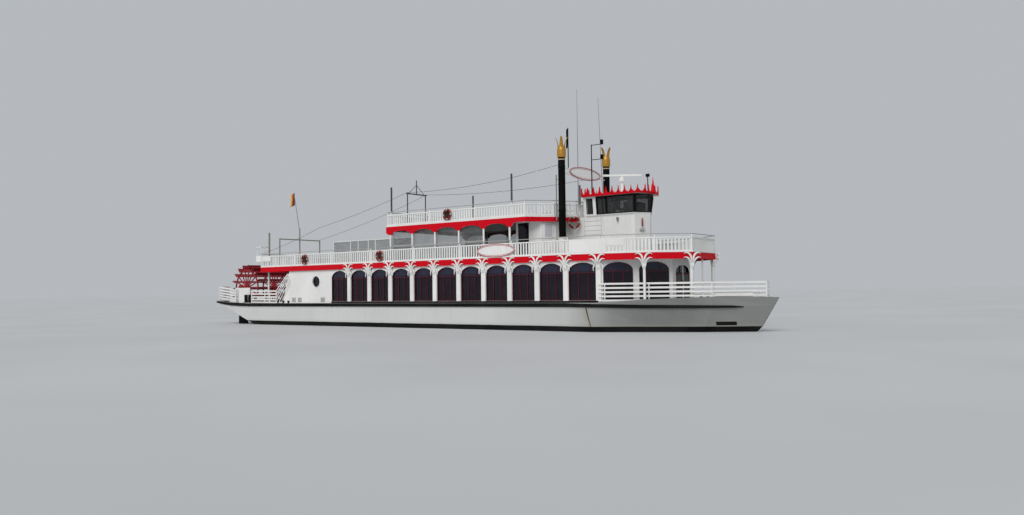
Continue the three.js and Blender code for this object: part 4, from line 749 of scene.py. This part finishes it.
def make_toe_boards():
    toe = Shape()
    for outline, foot, height in ((UPPER_OUTLINE, UPPER_Z, 0.075), (SUN_OUTLINE, SUN_Z, 0.06)):
        strip(toe, offset(outline, -0.006, True), 0.035, foot + 0.002, foot + height, True)
    toe.make("toe_boards", white_paint, bevel=0.006)


def rail_run(x0, x1, sign, inside):
    """The part of the upper deck's edge between two places, moved inboard."""
    line = offset(UPPER_OUTLINE, inside, True)[1:6]
    corners = [(x, y) for x, y in line if x0 < x < x1]
    ends = []
    for x in (x0, x1):
        for (xa, ya), (xb, yb) in zip(line, line[1:]):
            if xa <= x <= xb:
                ends.append((x, ya + (yb - ya) * (x - xa) / (xb - xa)))
                break
    return [(x, -sign * y) for x, y in [ends[0], *corners, ends[1]]]


def make_rail_boards():
    """White boards over the pickets forward of the cabin, and across the after corners of the deck."""
    thick = 0.012
    half_way_z = 4.78
    for side, sign in SIDES:
        shape = Shape()
        for x0, x1, z0 in ((18.3, 20.5, 4.44), (20.5, 21.5, half_way_z)):
            path = rail_run(x0, x1, sign, thick)
            if sign > 0:
                path.reverse()
            strip(shape, path, thick, z0, UPPER_RAIL_Z)
        shape.side_block(sign, -9.7, -8.6, 4.036, 4.036 + thick, half_way_z, UPPER_RAIL_Z)
        shape.make(f"rail_boards_{side}", rail_paint)


# Palm capitals: rows of distance from the column's middle and height, and the half width of each leaf
LEAVES = [
    [(0.03, 3.76), (0.05, 3.96), (0.09, 4.12), (0.16, 4.23), (0.26, 4.29), (0.36, 4.3), (0.46, 4.25)],
    [(0.05, 3.50), (0.08, 3.70), (0.13, 3.86), (0.2, 3.97), (0.3, 4.04), (0.39, 4.06), (0.48, 4.03)],
    [(0.08, 3.80), (0.15, 3.79), (0.23, 3.71), (0.28, 3.60), (0.29, 3.49), (0.26, 3.39)],
]
LEAF_HALF = [0.056, 0.052, 0.045]
LEAF_THICK = 0.035
LEAF_STEPS = 3
HEAD = [(0.10, 3.60), (0.14, 3.78), (0.19, 3.9), (0.19, 3.97)]
BAND_FOOT_Z = 3.76


def smooth_line(path):
    """A path with points added along a smooth curve through its own."""
    path = [Vector(p) for p in path]
    made = []
    for i in range(len(path) - 1):
        p0, p1, p2 = path[max(i - 1, 0)], path[i], path[i + 1]
        p3 = path[min(i + 2, len(path) - 1)]
        for k in range(LEAF_STEPS):
            t = k / LEAF_STEPS
            made.append(0.5 * (
                2 * p1 + (p2 - p0) * t + (2 * p0 - 5 * p1 + 4 * p2 - p3) * t ** 2
                + (3 * p1 - 3 * p2 + p3 - p0) * t ** 3
            ))
    return made + [path[-1]]


def smooth_sizes(sizes):
    made = []
    for first, second in zip(sizes, sizes[1:]):
        for k in range(LEAF_STEPS):
            made.append(tuple(a + (b - a) * k / LEAF_STEPS for a, b in zip(first, second)))
    return made + [sizes[-1]]


def capital(shape, middle, run, out, face, over, leaves):
    """Leaves that spread both ways from a column head. run is the wall's direction in plan, out faces away.
    face and over are how far the leaves stand out below and in front of the red band."""
    for leaf, half in list(zip(LEAVES, LEAF_HALF))[:leaves]:
        for way in (-1, 1):
            path, sizes = [], []
            for i, (along, z) in enumerate(leaf):
                stand = face + (over - face) * min(1, max(0, (z - BAND_FOOT_Z) / 0.18))
                path.append(beside(middle, run, out, along * way, stand, z))
                swell = math.sin(math.pi * (0.25 + 0.7 * i / (len(leaf) - 1)))
                sizes.append((half * max(0.25, swell), LEAF_THICK))
            shape.sweep(smooth_line(path), smooth_sizes(sizes), (*out, 0))
    for lower, upper in zip(HEAD, HEAD[1:]):
        points = []
        for half, z in (lower, upper):
            for a, stand in ((-1, -0.06), (1, -0.06), (1, face + 0.03), (-1, face + 0.03)):
                points.append(beside(middle, run, out, half * a, stand, z))
        shape.add(points, skin(2, 4) + caps(2, 4))


def make_capitals():
    heads = [((k * BAY, HOUSE_HALF), (1, 0), 0.085, 0.145, 3) for k in range(BAYS)]
    heads += [
        ((HOUSE_CORNER[0] - 0.1, HOUSE_CORNER[1]), (1, -0.115), 0.085, 0.235, 3),
        ((22.47, 2.96), (1.5, -0.55), 0.09, 0.18, 2),
        ((24.53, 1.4), (1.56, -1.37), 0.10, 0.20, 2),
    ]
    for side, sign in SIDES:
        shape = Shape()
        for (x, y), (run_x, run_y), face, over, leaves in heads:
            run = Vector((run_x, sign * run_y, 0)).normalized()
            out = (-sign * run.y, sign * run.x)
            capital(shape, (x, sign * y), run, out, face, over, leaves)
        shape.make(f"capitals_{side}", white_paint)


# Windows of the saloon
BAR_SINK = 0.075
TAPER_BAYS = ((0.14, 1.84), (2.14, 3.84))


def side_bays():
    """Both ends of each arched opening along the straight side."""
    half = COLUMN_W / 2
    columns = [k * BAY for k in range(BAYS)] + [HOUSE_CORNER[0]]
    return [(-1.85, -half)] + [(a + half, b - half) for a, b in zip(columns, columns[1:])]


def side_point(sign, x, z, depth):
    """A point at some depth inside the saloon's straight side."""
    bend = max(0.0, (x - HOUSE_BEND_X) * (HOUSE_HALF - HOUSE_CORNER[1]) / 1.8)
    return (x, sign * (HOUSE_HALF - bend - depth), z)


def taper_point(sign, along, z, depth):
    """A point at some depth inside the saloon's tapered side, at a distance from its corner."""
    dx, dy = HOUSE_FRONT[0] - HOUSE_CORNER[0], HOUSE_CORNER[1] - HOUSE_FRONT[1]
    length = math.hypot(dx, dy)
    ux, uy = dx / length, dy / length
    return (HOUSE_CORNER[0] + ux * along - uy * depth, sign * (HOUSE_CORNER[1] - uy * along - ux * depth), z)


def arch_line(x0, x1, sill, spring, top, steps=12):
    """Points of an arched opening: up one side, over, and down the other."""
    middle, half = (x0 + x1) / 2, (x1 - x0) / 2
    line = [(x0, sill)]
    for i in range(steps + 1):
        angle = math.pi * (1 - i / steps)
        line.append((middle + half * math.cos(angle), spring + (top - spring) * math.sin(angle)))
    return line + [(x1, sill)]


def window_bars(bars, beads, place, sign, x0, x1, spring):
    """Frame bars and a bead in one arched opening. place turns distance, height and depth into a point."""
    def bar(line, half):
        bars.sweep([place(sign, u, v, BAR_SINK) for u, v in line], (half, 0.015), sides=4)

    rim = arch_line(x0, x1, SILL_Z, spring, ARCH_TOP_Z)
    beads.sweep([place(sign, u, v, 0) for u, v in rim], 0.022, sides=6)
    inner = arch_line(x0 + 0.03, x1 - 0.03, SILL_Z + 0.03, spring, ARCH_TOP_Z - 0.03)
    bar(inner + inner[:1], 0.025)
    level = spring - 0.05
    bar([(x0, level), (x1, level)], 0.028)
    width = x1 - x0
    for u in (x0 + width / 3, x0 + 2 * width / 3):
        bar([(u, SILL_Z), (u, level)], 0.024)
        bar([(u, level), (u + (u - (x0 + x1) / 2) * 0.6, ARCH_TOP_Z - 0.14)], 0.02)


def make_windows():
    for side, sign in SIDES:
        bars, beads, ring, vents = Shape(), Shape(), Shape(), Shape()
        for x0, x1 in side_bays():
            window_bars(bars, beads, side_point, sign, x0, x1, SPRING_Z)
        for x0, x1 in TAPER_BAYS:
            window_bars(bars, beads, taper_point, sign, x0, x1, TAPER_SPRING_Z)
        bars.make(f"window_frames_{side}", maroon, slot="dark_glass")
        beads.make(f"arch_beads_{side}", white_paint)
        x, z, radius = PORTHOLE
        for sink, size, sides in ((0, (0.035, 0.03), 8), (0.08, (0.02, 0.015), 6)):
            ring.sweep(hoop(x, sign * (HOUSE_HALF - sink), z, radius, 32), size, ASIDE, sides, True)
        ring.make(f"porthole_ring_{side}", white_paint)
        for x in VENTS_X:
            vents.side_block(sign, x - 0.21, x + 0.21, HOUSE_HALF - 0.01, HOUSE_HALF + 0.02, 1.71, 2.03)
            for k in range(7):
                z = 1.74 + k * 0.04
                vents.side_block(
                    sign, x - 0.18, x + 0.18, HOUSE_HALF - 0.018, HOUSE_HALF + 0.028, z, z + 0.015,
                )
        vents.make(f"wall_vents_{side}", vent_grey)


# Veranda screens under the sun deck, with a thin border in each bay
def make_veranda():
    faces = (SCREEN_Y - 0.02, SCREEN_Y + 0.02)
    for side, sign in SIDES:
        shape = Shape()
        for post, following in zip(SUN_POST_X, SUN_POST_X[1:]):
            x0, x1 = post + 0.09, following - 0.09
            for z0, z1 in ((5.40, 5.45), (6.56, 6.62)):
                shape.side_block(sign, x0, x1, *faces, z0, z1)
            for x in (x0, x1 - 0.03):
                shape.side_block(sign, x, x + 0.03, *faces, 4.4, 6.6)
        shape.make(f"veranda_borders_{side}", vent_grey)


# Cabin and trunk fittings
CABIN_CORNERS = ((15.74, 2.95), (16.2, 2.36))
TRUNK_RUN = Vector((0.485, 0.8745))
TRUNK_OUT = Vector((0.8745, -0.485))


def make_cabin_door(side, sign):
    frames, leaf, knob = Shape(), Shape(), Shape()
    frames.lattice(
        sign, depth=(2.99, 3.015), posts=(13.87, 14.81), post=(0.06, 4.37, 6.52),
        rails=(6.44,), rail=(0.08, 13.87, 14.87),
    )
    frames.make(f"cabin_door_frame_{side}", white_paint)
    leaf.lattice(
        sign, depth=(2.995, 3.012), posts=(13.98, 14.69), post=(0.05, 4.43, 6.38),
        rails=(4.43, 5.2, 6.32), rail=(0.06, 13.98, 14.74),
    )
    body = f"cabin_door_{side}"
    leaf.make(f"cabin_door_stiles_{side}", black_paint, body, "dark_glass", bevel=0.004)
    near, far = sign * 3.01, sign * 3.06
    knob.sweep([(14.05, near, 5.35), (14.05, far, 5.35), (14.15, far, 5.35)], 0.012)
    knob.make(f"cabin_door_handle_{side}", steel_paint, body, "steel")


def make_cabin_window(side, sign):
    pane, rim = Shape(), Shape()
    after, fore = [Vector((x, sign * y)) for x, y in CABIN_CORNERS]
    run = (fore - after).normalized()
    centre = (after + fore) / 2 + Vector((abs(run.y), sign * abs(run.x))) * 0.006
    board(pane, centre, run, 0.46, 0.02, 5.5, 6.3)
    for along in (-0.26, 0.26):
        board(rim, centre + run * along, run, 0.06, 0.05, 5.44, 6.36)
    for z in (5.44, 6.3):
        board(rim, centre, run, 0.46, 0.05, z, z + 0.06)
    # The pane is opaque pale grey, a painted sky reflection
    pane.make(f"cabin_window_{side}", sky_reflection_grey, slot="dark_glass")
    rim.make(f"cabin_window_rim_{side}", white_paint, bevel=0.006)


def make_louvres(side, sign):
    louvres = Shape()
    louvres.lattice(
        sign, depth=(0.995, 1.006), posts=(17.41, 18.61), post=(0.02, 5.55, 6.69),
        rails=(5.62, 5.86, 6.14, 6.42), rail=(0.025, 17.43, 18.61),
    )
    louvres.make(f"trunk_louvres_{side}", vent_grey)


def make_cabin_details():
    """Doors, windows and louvres on both sides, and a lamp, an extinguisher and a box to starboard."""
    for side, sign in SIDES:
        make_cabin_door(side, sign)
        make_cabin_window(side, sign)
        make_louvres(side, sign)
    lamp, tube, box = Shape(), Shape(), Shape()
    lamp.sweep([(19.76, -1.0, 6.45), (19.76, -1.08, 6.45)], 0.05, sides=10)
    lamp.sweep([(19.76, -1.09, 6.33), (19.76, -1.09, 6.56)], [0.04, 0.075], sides=12)
    lamp.make("trunk_lamp", steel_paint, slot="steel")
    foot = Vector((21.09, -0.57)) + TRUNK_OUT * 0.06
    tube.lathe([(0.02, 5.96), (0.042, 5.98), (0.042, 6.36), (0.03, 6.42), (0.012, 6.48)], foot, 14)
    board(tube, foot - TRUNK_OUT * 0.03, TRUNK_RUN, 0.05, 0.06, 6.1, 6.16)
    tube.make("trunk_extinguisher", dark_red, slot="red_paint")
    board(box, Vector((21.08, -0.585)) + TRUNK_OUT * 0.04, TRUNK_RUN, 0.3, 0.08, 5.72, 5.9)
    box.make("trunk_small_box", vent_grey, bevel=0.015)


# Wheelhouse fittings
def lean(z):
    """How far the wheelhouse walls have leaned out at a level."""
    return CAB_LEAN * (z - CAB_FOOT_Z) / (ROOF_LOW_Z - CAB_FOOT_Z)


def make_window_bars():
    bars = Shape()
    low, high = CAB_BARS_Z
    for sign in (-1, 1):
        for x in (18.37, 19.0):
            bars.sweep([(x, sign * (0.99 + lean(z)), z) for z in (low, high)], (0.045, 0.03), ASIDE, 4)
        bars.sweep([(18.72, sign * (0.98 + lean(z)), z) for z in (low, high)], 0.015, sides=6)
        for z in (low, high):
            side = sign * (0.995 + lean(z))
            line = [(18.33, side, z), (20.85 + lean(z), side, z), (21.355 + lean(z), sign * 0.05, z)]
            bars.sweep(line, (0.03, 0.035), UP, 4)
        corner = [(20.83 + lean(z), sign * (0.985 + lean(z)), z) for z in (low, high)]
        bars.sweep(corner, (0.09, 0.04), (0.48, sign * 0.87, 0), 4)
    bars.sweep([(21.36 + lean(z), 0, z) for z in (low, high)], (0.13, 0.03), AHEAD, 4)
    bars.make("wheelhouse_window_bars", black_paint, slot="black_paint")


def make_wheelhouse_details():
    make_window_bars()
    trims, rail, door, grip, wheel = Shape(), Shape(), Shape(), Shape(), Shape()
    for sign in (-1, 1):
        outline = [(17.66, 6.87), (18.07, 6.87), (18.07, 7.77), (17.66, 7.77)]
        path = [(x, sign * (1.004 + lean(z)), z) for x, z in outline]
        trims.sweep(path, (0.025, 0.02), ASIDE, 4, closed=True)
        rail.sweep([(17.6, sign * 1.06, 6.77), (20.9, sign * 1.06, 6.77)], 0.02)
    trims.make("wheelhouse_small_window_trim", black_paint, slot="black_paint")
    rail.make("wheelhouse_grab_rails", rail_paint)
    door.block(17.478, 17.492, -0.3, 0.3, 7.15, 7.6)
    door.make("wheelhouse_door_pane", dark_glass, "wheelhouse_door", "dark_glass", bevel=0.01)
    grip.sweep([(17.49, 0.25, 7.05), (17.44, 0.25, 7.05), (17.44, 0.15, 7.05)], 0.014)
    grip.make("wheelhouse_door_handle", steel_paint, "wheelhouse_door", "steel")
    ring = [(HELM_X, u, HELM_Z + v) for u, v in circle(28, 0.3)]
    wheel.sweep(ring, 0.018, AHEAD, closed=True)
    for u, v in circle(8, 0.36):
        wheel.sweep([(HELM_X, 0, HELM_Z), (HELM_X, u, HELM_Z + v)], 0.012, AHEAD, 6)
    wheel.sweep([(HELM_X - 0.04, 0, HELM_Z), (HELM_X + 0.12, 0, HELM_Z - 0.05)], 0.045, sides=10)
    wheel.make("helm_wheel", timber, slot="timber")


# Roof with a crown of red scallops that rise to points
def make_roof():
    crown, plate = Shape(), Shape()
    steps = 10
    inner = offset(ROOF_OUTLINE, 0.05, True)
    corners = list(zip(ROOF_OUTLINE, inner))
    for ((x0, y0), (u0, v0)), ((x1, y1), (u1, v1)) in zip(corners, corners[1:] + corners[:1]):
        spikes = max(1, round(math.hypot(x1 - x0, y1 - y0) / SPIKE_PITCH))
        points = []
        for k in range(spikes * steps + 1):
            share = k / (spikes * steps)
            u = 2 * ((k / steps) % 1) - 1
            top = SCALLOP_Z + (SPIKE_Z - SCALLOP_Z) * (1 - math.sqrt(max(0.0, 1 - u * u)))
            outer = (x0 + (x1 - x0) * share, y0 + (y1 - y0) * share)
            back = (u0 + (u1 - u0) * share, v0 + (v1 - v0) * share)
            points += [(*outer, ROOF_LOW_Z), (*outer, top), (*back, top), (*back, ROOF_LOW_Z)]
        faces = []
        for a in range(0, 4 * spikes * steps, 4):
            faces += [(a + k, a + 4 + k, a + 4 + (k + 1) % 4, a + (k + 1) % 4) for k in range(4)]
        crown.add(points, faces)
    spike = [(0.15, 7.98), (0.13, 8.12), (0.075, 8.32), (0.04, 8.57), (0.012, TALL_SPIKE_Z)]
    crown.lathe(spike, (21.55, 0), 14)
    crown.make("roof_crown", trim_red, slot="red_paint", replaces=["wheelhouse_roof"], smooth=30)
    plate.upright(offset(ROOF_OUTLINE, 0.045, True), ROOF_LOW_Z + 0.002, ROOF_LOW_Z + 0.1)
    plate.make("roof_plate", white_paint)


# Funnels with gilded crowns of four petals
PIPE = [
    (0.2, 5.4), (FUNNEL_R, 5.46), (FUNNEL_R, 7.0), (0.22, 7.02), (0.22, 7.1), (FUNNEL_R, 7.12),
    (FUNNEL_R, 9.6), (0.22, 9.62), (0.22, 9.68), (FUNNEL_R, 9.7), (FUNNEL_R, CROWN_FOOT_Z + 0.03),
    (0.17, CROWN_FOOT_Z + 0.04),
]
CASING = [
    (0.268, 4.3405), (0.268, 4.42), (0.25, 4.44), (0.25, 5.38), (0.268, 5.4), (0.268, 5.45), (0.2, 5.47),
]
COLLAR = [(0.2, 10.02), (0.225, 10.03), (0.225, 10.09), (0.2, 10.1)]
CROWN_FOOT = [(0.2, CROWN_FOOT_Z), (0.262, 10.2), (0.262, 10.25), (0.24, 10.27)]
CROWN_SIDES = 96
CROWN_ROWS = 18
CROWN_THICK = 0.022


def crown_radius(z):
    for (z0, r0), (z1, r1) in zip(CROWN_RADII, CROWN_RADII[1:]):
        if z <= z1:
            t = (z - z0) / (z1 - z0)
            return r0 + (r1 - r0) * t * t * (3 - 2 * t)
    return CROWN_RADII[-1][1]


def crown_point(k, row, petal, sink):
    """Distance ahead, distance aside and level of a point on the crown, at a depth inside its skin."""
    angle = 2 * math.pi * k / CROWN_SIDES
    rise = abs(math.cos(2 * (angle - petal))) ** 2.4
    top = PETAL_FOOT_Z + (CROWN_TIP_Z - PETAL_FOOT_Z) * rise
    z = CROWN_FOOT_Z + (top - CROWN_FOOT_Z) * row / CROWN_ROWS
    radius = crown_radius(z) - sink + 0.012 * rise * (z > PETAL_FOOT_Z)
    return radius * math.cos(angle), radius * math.sin(angle), z


def make_crown(centre, petal):
    crown = Shape()
    points = []
    for sink in (0, CROWN_THICK):
        for row in range(CROWN_ROWS + 1):
            for k in range(CROWN_SIDES):
                u, v, z = crown_point(k, row, petal, sink)
                points.append((centre[0] + u, centre[1] + v, z))
    layer = (CROWN_ROWS + 1) * CROWN_SIDES
    faces = []
    for a, b, c, d in skin(CROWN_ROWS + 1, CROWN_SIDES):
        faces += [(a, b, c, d), (layer + a, layer + d, layer + c, layer + b)]
    top = CROWN_ROWS * CROWN_SIDES
    for a in range(CROWN_SIDES):
        b = (a + 1) % CROWN_SIDES
        faces += [(a, layer + a, layer + b, b), (top + a, top + b, layer + top + b, layer + top + a)]
    crown.add(points, faces)
    crown.lathe(CROWN_FOOT, centre, 40)
    return crown


def make_funnels():
    for side, sign in SIDES:
        centre = (FUNNEL_X, sign * FUNNEL_Y)
        pipe, casing, collar = Shape(), Shape(), Shape()
        pipe.lathe(PIPE, centre, 40)
        pipe.make(f"funnel_pipe_{side}", black_paint, slot="black_paint", replaces=[f"funnel_{side}"])
        casing.lathe(CASING, centre, 32)
        casing.make(f"funnel_casing_{side}", white_paint)
        collar.lathe(COLLAR, centre, 40)
        collar.make(f"funnel_collar_{side}", pale_brass, slot="bronze")
        make_crown(centre, PETAL_TURN[side]).make(f"funnel_crown_{side}", gold, slot="bronze")
    drain = Shape()
    drain.sweep([(DRAIN_X, -FUNNEL_Y, 6.45), (DRAIN_X, -FUNNEL_Y, 9.19)], 0.035)
    for z in (7.05, 8.9):
        drain.sweep([(DRAIN_X, -FUNNEL_Y, z), (FUNNEL_X - FUNNEL_R + 0.01, -FUNNEL_Y, z)], 0.02, sides=6)
    drain.make("funnel_drain_pipe", steel_paint, slot="steel")


# Life rings: rope-bound, red with four white bands, and a dark disc behind those that face square to the side
RING_STEPS = 48
RING_SIDES = 12
DISC_R = 0.25
DISC_SIDES = 24


def make_life_ring(name, centre, z, run, out, backed):
    shape = Shape()
    points = []
    for u, v in circle(RING_STEPS):
        for ahead, deep in circle(RING_SIDES):
            radius = RING_R + 0.066 * ahead
            points.append(beside(centre, run, out, radius * u, 0.06 * deep, z + radius * v))
    marks = [int((i + 1) % 12 < 3) for i in range(RING_STEPS) for k in range(RING_SIDES)]
    shape.add(points, skin(RING_STEPS, RING_SIDES, True), marks)
    rope = []
    for u, v in circle(RING_STEPS):
        radius = 0.36 + 0.012 * abs(2 * u * v)
        rope.append(beside(centre, run, out, radius * u, 0, z + radius * v))
    shape.sweep(rope, 0.008, (*out, 0), 5, closed=True, mark=1)
    if backed:
        back = Shape()
        disc = []
        for stand in (-0.075, -0.06):
            disc += [beside(centre, run, out, u, stand, z + v) for u, v in circle(DISC_SIDES, DISC_R)]
        back.add(disc, caps(2, DISC_SIDES) + skin(2, DISC_SIDES))
        back.make(f"ring_back_{name}", ring_shade)
    shape.make(f"ring_{name}", [ring_red, ring_white], slot="ring_plastic", replaces=[f"life_ring_{name}"])


def make_life_rings():
    for where, x, y, z, turn in LIFE_RINGS:
        for side, sign in SIDES:
            run = (math.cos(turn), -sign * math.sin(turn))
            out = (math.sin(turn), sign * math.cos(turn))
            make_life_ring(f"{where}_{side}", (x, sign * y), z, run, out, turn == 0)


# Blank oval boards with a dark red rim
def make_boards():
    for name, centre, half_w, half_h, sinks in (
        ("funnel_board_rim", (FUNNEL_X, 0, 9.46), 1.78, 0.39, (-0.045, 0.045)),
        ("side_board_rim_starboard", (13.05, -4.101, 4.78), 1.45, 0.4, (-0.004,)),
        ("side_board_rim_port", (13.05, 4.101, 4.78), 1.45, 0.4, (0.004,)),
    ):
        rim = Shape()
        x, y, z = centre
        across_boat = y == 0
        for sink in sinks:
            for inset, size in ((0.025, 0.022), (0.10, 0.01)):
                path = []
                for u, v in circle(64):
                    u, v = (half_w - inset) * u, (half_h - inset) * v
                    path.append((x + sink, y + u, z + v) if across_boat else (x + u, y + sink, z + v))
                rim.sweep(path, (size, 0.012), AHEAD if across_boat else ASIDE, 6, closed=True)
        rim.make(name, board_red, slot="red_paint")


# Ensign and pennant, each a limp cloth in pleats
def hanging_cloth(name, top, drop, spread, pleats, depth, slant, lean_aft, material):
    """Cloth pleated across its width. Returns the piece and its flat width and length in the model."""
    shape = Shape()
    across, down = 60, 24
    points, shares = [], []
    for j in range(down + 1):
        v = j / down
        for i in range(across + 1):
            u = i / across
            narrow = 1 - 0.12 * math.sin(math.pi * v)
            x = top[0] - spread * u * narrow - lean_aft * v
            y = top[1] + depth * math.sin(2 * math.pi * pleats * u + 0.5 * v) * (0.6 + 0.4 * v)
            points.append((x, y, top[2] - slant * u - drop * v))
            shares.append(u)
    faces = []
    for j in range(down):
        for i in range(across):
            a = j * (across + 1) + i
            faces.append((a, a + 1, a + across + 2, a + across + 1))
    shape.add(points, faces)
    area = 0
    for face in faces:
        p = [Vector(points[k]) for k in face]
        area += ((p[1] - p[0]).cross(p[2] - p[0]).length + (p[2] - p[0]).cross(p[3] - p[0]).length) / 2
    piece = shape.make(name, material, slot="cloth", smooth=80)
    piece.data.attributes.new("band", "FLOAT", "POINT").data.foreach_set("value", shares)
    return piece, (area / drop * SCALE, drop * SCALE)


def make_flags():
    ensign, flat = hanging_cloth(
        "ensign_cloth", (-10.27, -0.45, 10.4), 1.0, 0.5, 3.5, 0.045, 0.12, 0.03, flag_cloth,
    )
    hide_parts("ensign")
    pennant, flat = hanging_cloth(
        "pennant_cloth", (FUNNEL_X - 0.03, -1.84, 12.04), 1.15, 0.10, 1.5, 0.03, 0.1, 0.02, black_paint,
    )


# Strings of lamps from the funnels to the stern
BULB = [(0.012, -0.10), (0.032, -0.085), (0.036, -0.06), (0.018, -0.03), (0.016, 0)]


def hanging(start, end, drop, count):
    """Places along a line that sags by drop between its ends."""
    line = []
    for k in range(count + 1):
        share = k / count
        line.append(Vector(start).lerp(Vector(end), share) - Vector((0, 0, 4 * drop * share * (1 - share))))
    return line


def make_lamp_strings():
    for side, runs in LAMP_RUNS.items():
        cable, bulbs = Shape(), Shape()
        path = []
        for run in runs:
            path += hanging(*run)[1 if path else 0:]
        cable.sweep(path, 0.011, sides=5)
        for point in path[1:-1:2]:
            bulbs.lathe([(radius, point.z + rise) for radius, rise in BULB], point[:2], 8)
        cable.make(f"lamp_string_{side}", wire, slot="black_paint")
        bulbs.make(f"lamp_bulbs_{side}", bulb, slot="clear_sheet")


# Stern: bolts and rings on the paddle wheel
def make_wheel_details():
    bolts, straps = Shape(), Shape()
    for y in WHEEL_RING_Y:
        for u, v in circle(WHEEL_BOARDS):
            for radius in (1.52, 1.70):
                x, z = WHEEL_X + radius * u, WHEEL_Z + radius * v
                for way in (-1, 1):
                    bolts.sweep([(x, y + way * 0.03, z), (x, y + way * 0.05, z)], 0.022, sides=6)
        for radius, stand, thick, count, sides in ((1.44, 0.034, 0.006, 72, 4), (0.2, 0.105, 0.01, 24, 6)):
            for way in (-1, 1):
                line = hoop(WHEEL_X, y + way * stand, WHEEL_Z, radius, count)
                straps.sweep(line, (0.03, thick), ASIDE, sides, True)
    bolts.make("wheel_bolts", steel_paint, "paddle_wheel", "steel")
    straps.make("wheel_straps", wheel_red, "paddle_wheel", "wheel_paint")


# Doors of the saloon
FRONT_RAILS_Z = (1.685, 2.45, 3.106)
AFT_RAILS_Z = (1.685, 2.45, 3.56)
STILE_W = 0.08


def door_leaf(name, body, x0, x1, y0, y1, head, rails):
    """Stiles and rails on the face of a door."""
    leaf = Shape()
    for side in (y0, y1 - STILE_W):
        leaf.block(x0, x1, side, side + STILE_W, rails[0], head)
    for z in rails:
        leaf.block(x0, x1, y0, y1, z, z + STILE_W)
    leaf.make(name, maroon, body, "dark_glass", bevel=0.004)


def door_grip(name, body, face, reach, y, low, high):
    grip = Shape()
    grip.sweep([(face, y, low), (reach, y, low), (reach, y, high), (face, y, high)], 0.013)
    grip.make(name, steel_paint, body, "steel")


def make_saloon_doors():
    for side, sign in SIDES:
        body = f"saloon_door_front_{side}"
        y0, y1 = sorted((sign * 0.846, sign * 0.008))
        door_leaf(f"front_door_stiles_{side}", body, 23.31, 23.332, y0, y1, 3.186, FRONT_RAILS_Z)
        edge = Shape()
        edge.side_block(sign, 23.333, 23.345, 0.01, 0.075, 1.69, 3.18)
        edge.make(f"front_door_edge_{side}", white_paint, body, "dark_glass", bevel=0.004)
        door_grip(f"front_door_handle_{side}", body, 23.33, 23.37, sign * 0.07, 2.55, 2.85)
    post = Shape()
    post.block(23.31, 23.335, -0.06, 0.06, 3.2, 3.72)
    post.make("fanlight_post", white_paint, bevel=0.004)
    door_leaf("aft_door_stiles", "saloon_door_aft", -6.412, -6.39, -0.496, 0.486, 3.645, AFT_RAILS_Z)
    door_grip("aft_door_handle", "saloon_door_aft", -6.41, -6.45, 0.42, 2.6, 2.85)


# Fore deck: a white panel between the lower planks near the stem, and small cleats at the deck edge
def make_fore_deck():
    panel, ends, cleats = Shape(), Shape(), Shape()
    for _, sign in SIDES:
        path = [(25.9, sign * 1.44), (26.7, sign * 0.99), (27.6, sign * 0.49)]
        far = [(x, y - sign * 0.012) for x, y in path]
        for i in range(2):
            plan = [path[i], path[i + 1], far[i + 1], far[i]]
            if sign > 0:
                plan.reverse()
            panel.upright(plan, 1.75, 2.24)
        for z in (2.61, 2.38, 2.15, 1.92, 1.69):
            board(ends, (20.2, sign * 3.71), (0.916, -sign * 0.4), 0.4, 0.04, z, z + 0.1)
        for x in (-7.8, -7.2, -6.6):
            for half, foot, head in ((0.05, 0, 0.13), (0.12, 0.13, 0.18)):
                cleats.side_block(sign, x - half, x + half, 3.97, 4.03, DECK_Z + foot, DECK_Z + head)
    panel.make("fore_rail_panels", rail_paint)
    ends.make("bow_rail_ends", rail_paint)
    cleats.make("deck_cleats", black_paint, slot="black_paint", bevel=0.01)


# Light, floor and sky
FLOOR_HALF = 400
SKY_COLOUR = (0.86, 0.90, 0.95, 1)
SKY_STRENGTH = 0.54
SUN_COLOUR = (1.0, 0.98, 0.95)
SUN_STRENGTH = 2.1
SUN_SPREAD = math.radians(45)
SUN_FROM = (0.12, -0.7, 0.7)


def make_stage():
    mesh = bpy.data.meshes.new("floor")
    corners = [(-1, -1), (1, -1), (1, 1), (-1, 1)]
    level = DRAFT * SCALE
    mesh.from_pydata([(x * FLOOR_HALF, y * FLOOR_HALF, level) for x, y in corners], [], [(0, 1, 2, 3)])
    graph = Graph("floor_plain")
    tone = graph.mix(graph.fade(graph.noise(6, 2), 0.3, 0.7), (0.46, 0.47, 0.48), (0.50, 0.51, 0.52))
    graph.fill(graph.bsdf, Base_Color=tone, Roughness=0.55)
    mesh.materials.append(graph.material)
    floor = link("floor", mesh)
    world = bpy.data.worlds.new("sky")
    bpy.context.scene.world = world
    world.use_nodes = True
    background = world.node_tree.nodes["Background"]
    background.inputs["Color"].default_value = SKY_COLOUR
    background.inputs["Strength"].default_value = SKY_STRENGTH
    light = bpy.data.lights.new("soft_sun", "SUN")
    light.energy = SUN_STRENGTH
    light.angle = SUN_SPREAD
    light.color = SUN_COLOUR
    link("soft_sun", light).rotation_euler = Vector(SUN_FROM).to_track_quat("Z", "Y").to_euler()
    bpy.context.scene.view_settings.view_transform = "Standard"
    bpy.context.scene.view_settings.look = "None"


for make in (
    make_pickets, make_toe_boards, make_rail_boards, make_capitals, make_windows, make_veranda,
    make_cabin_details, make_wheelhouse_details, make_roof, make_funnels, make_life_rings, make_boards,
    make_flags, make_lamp_strings, make_wheel_details, make_saloon_doors, make_fore_deck, make_stage,
):
    make()
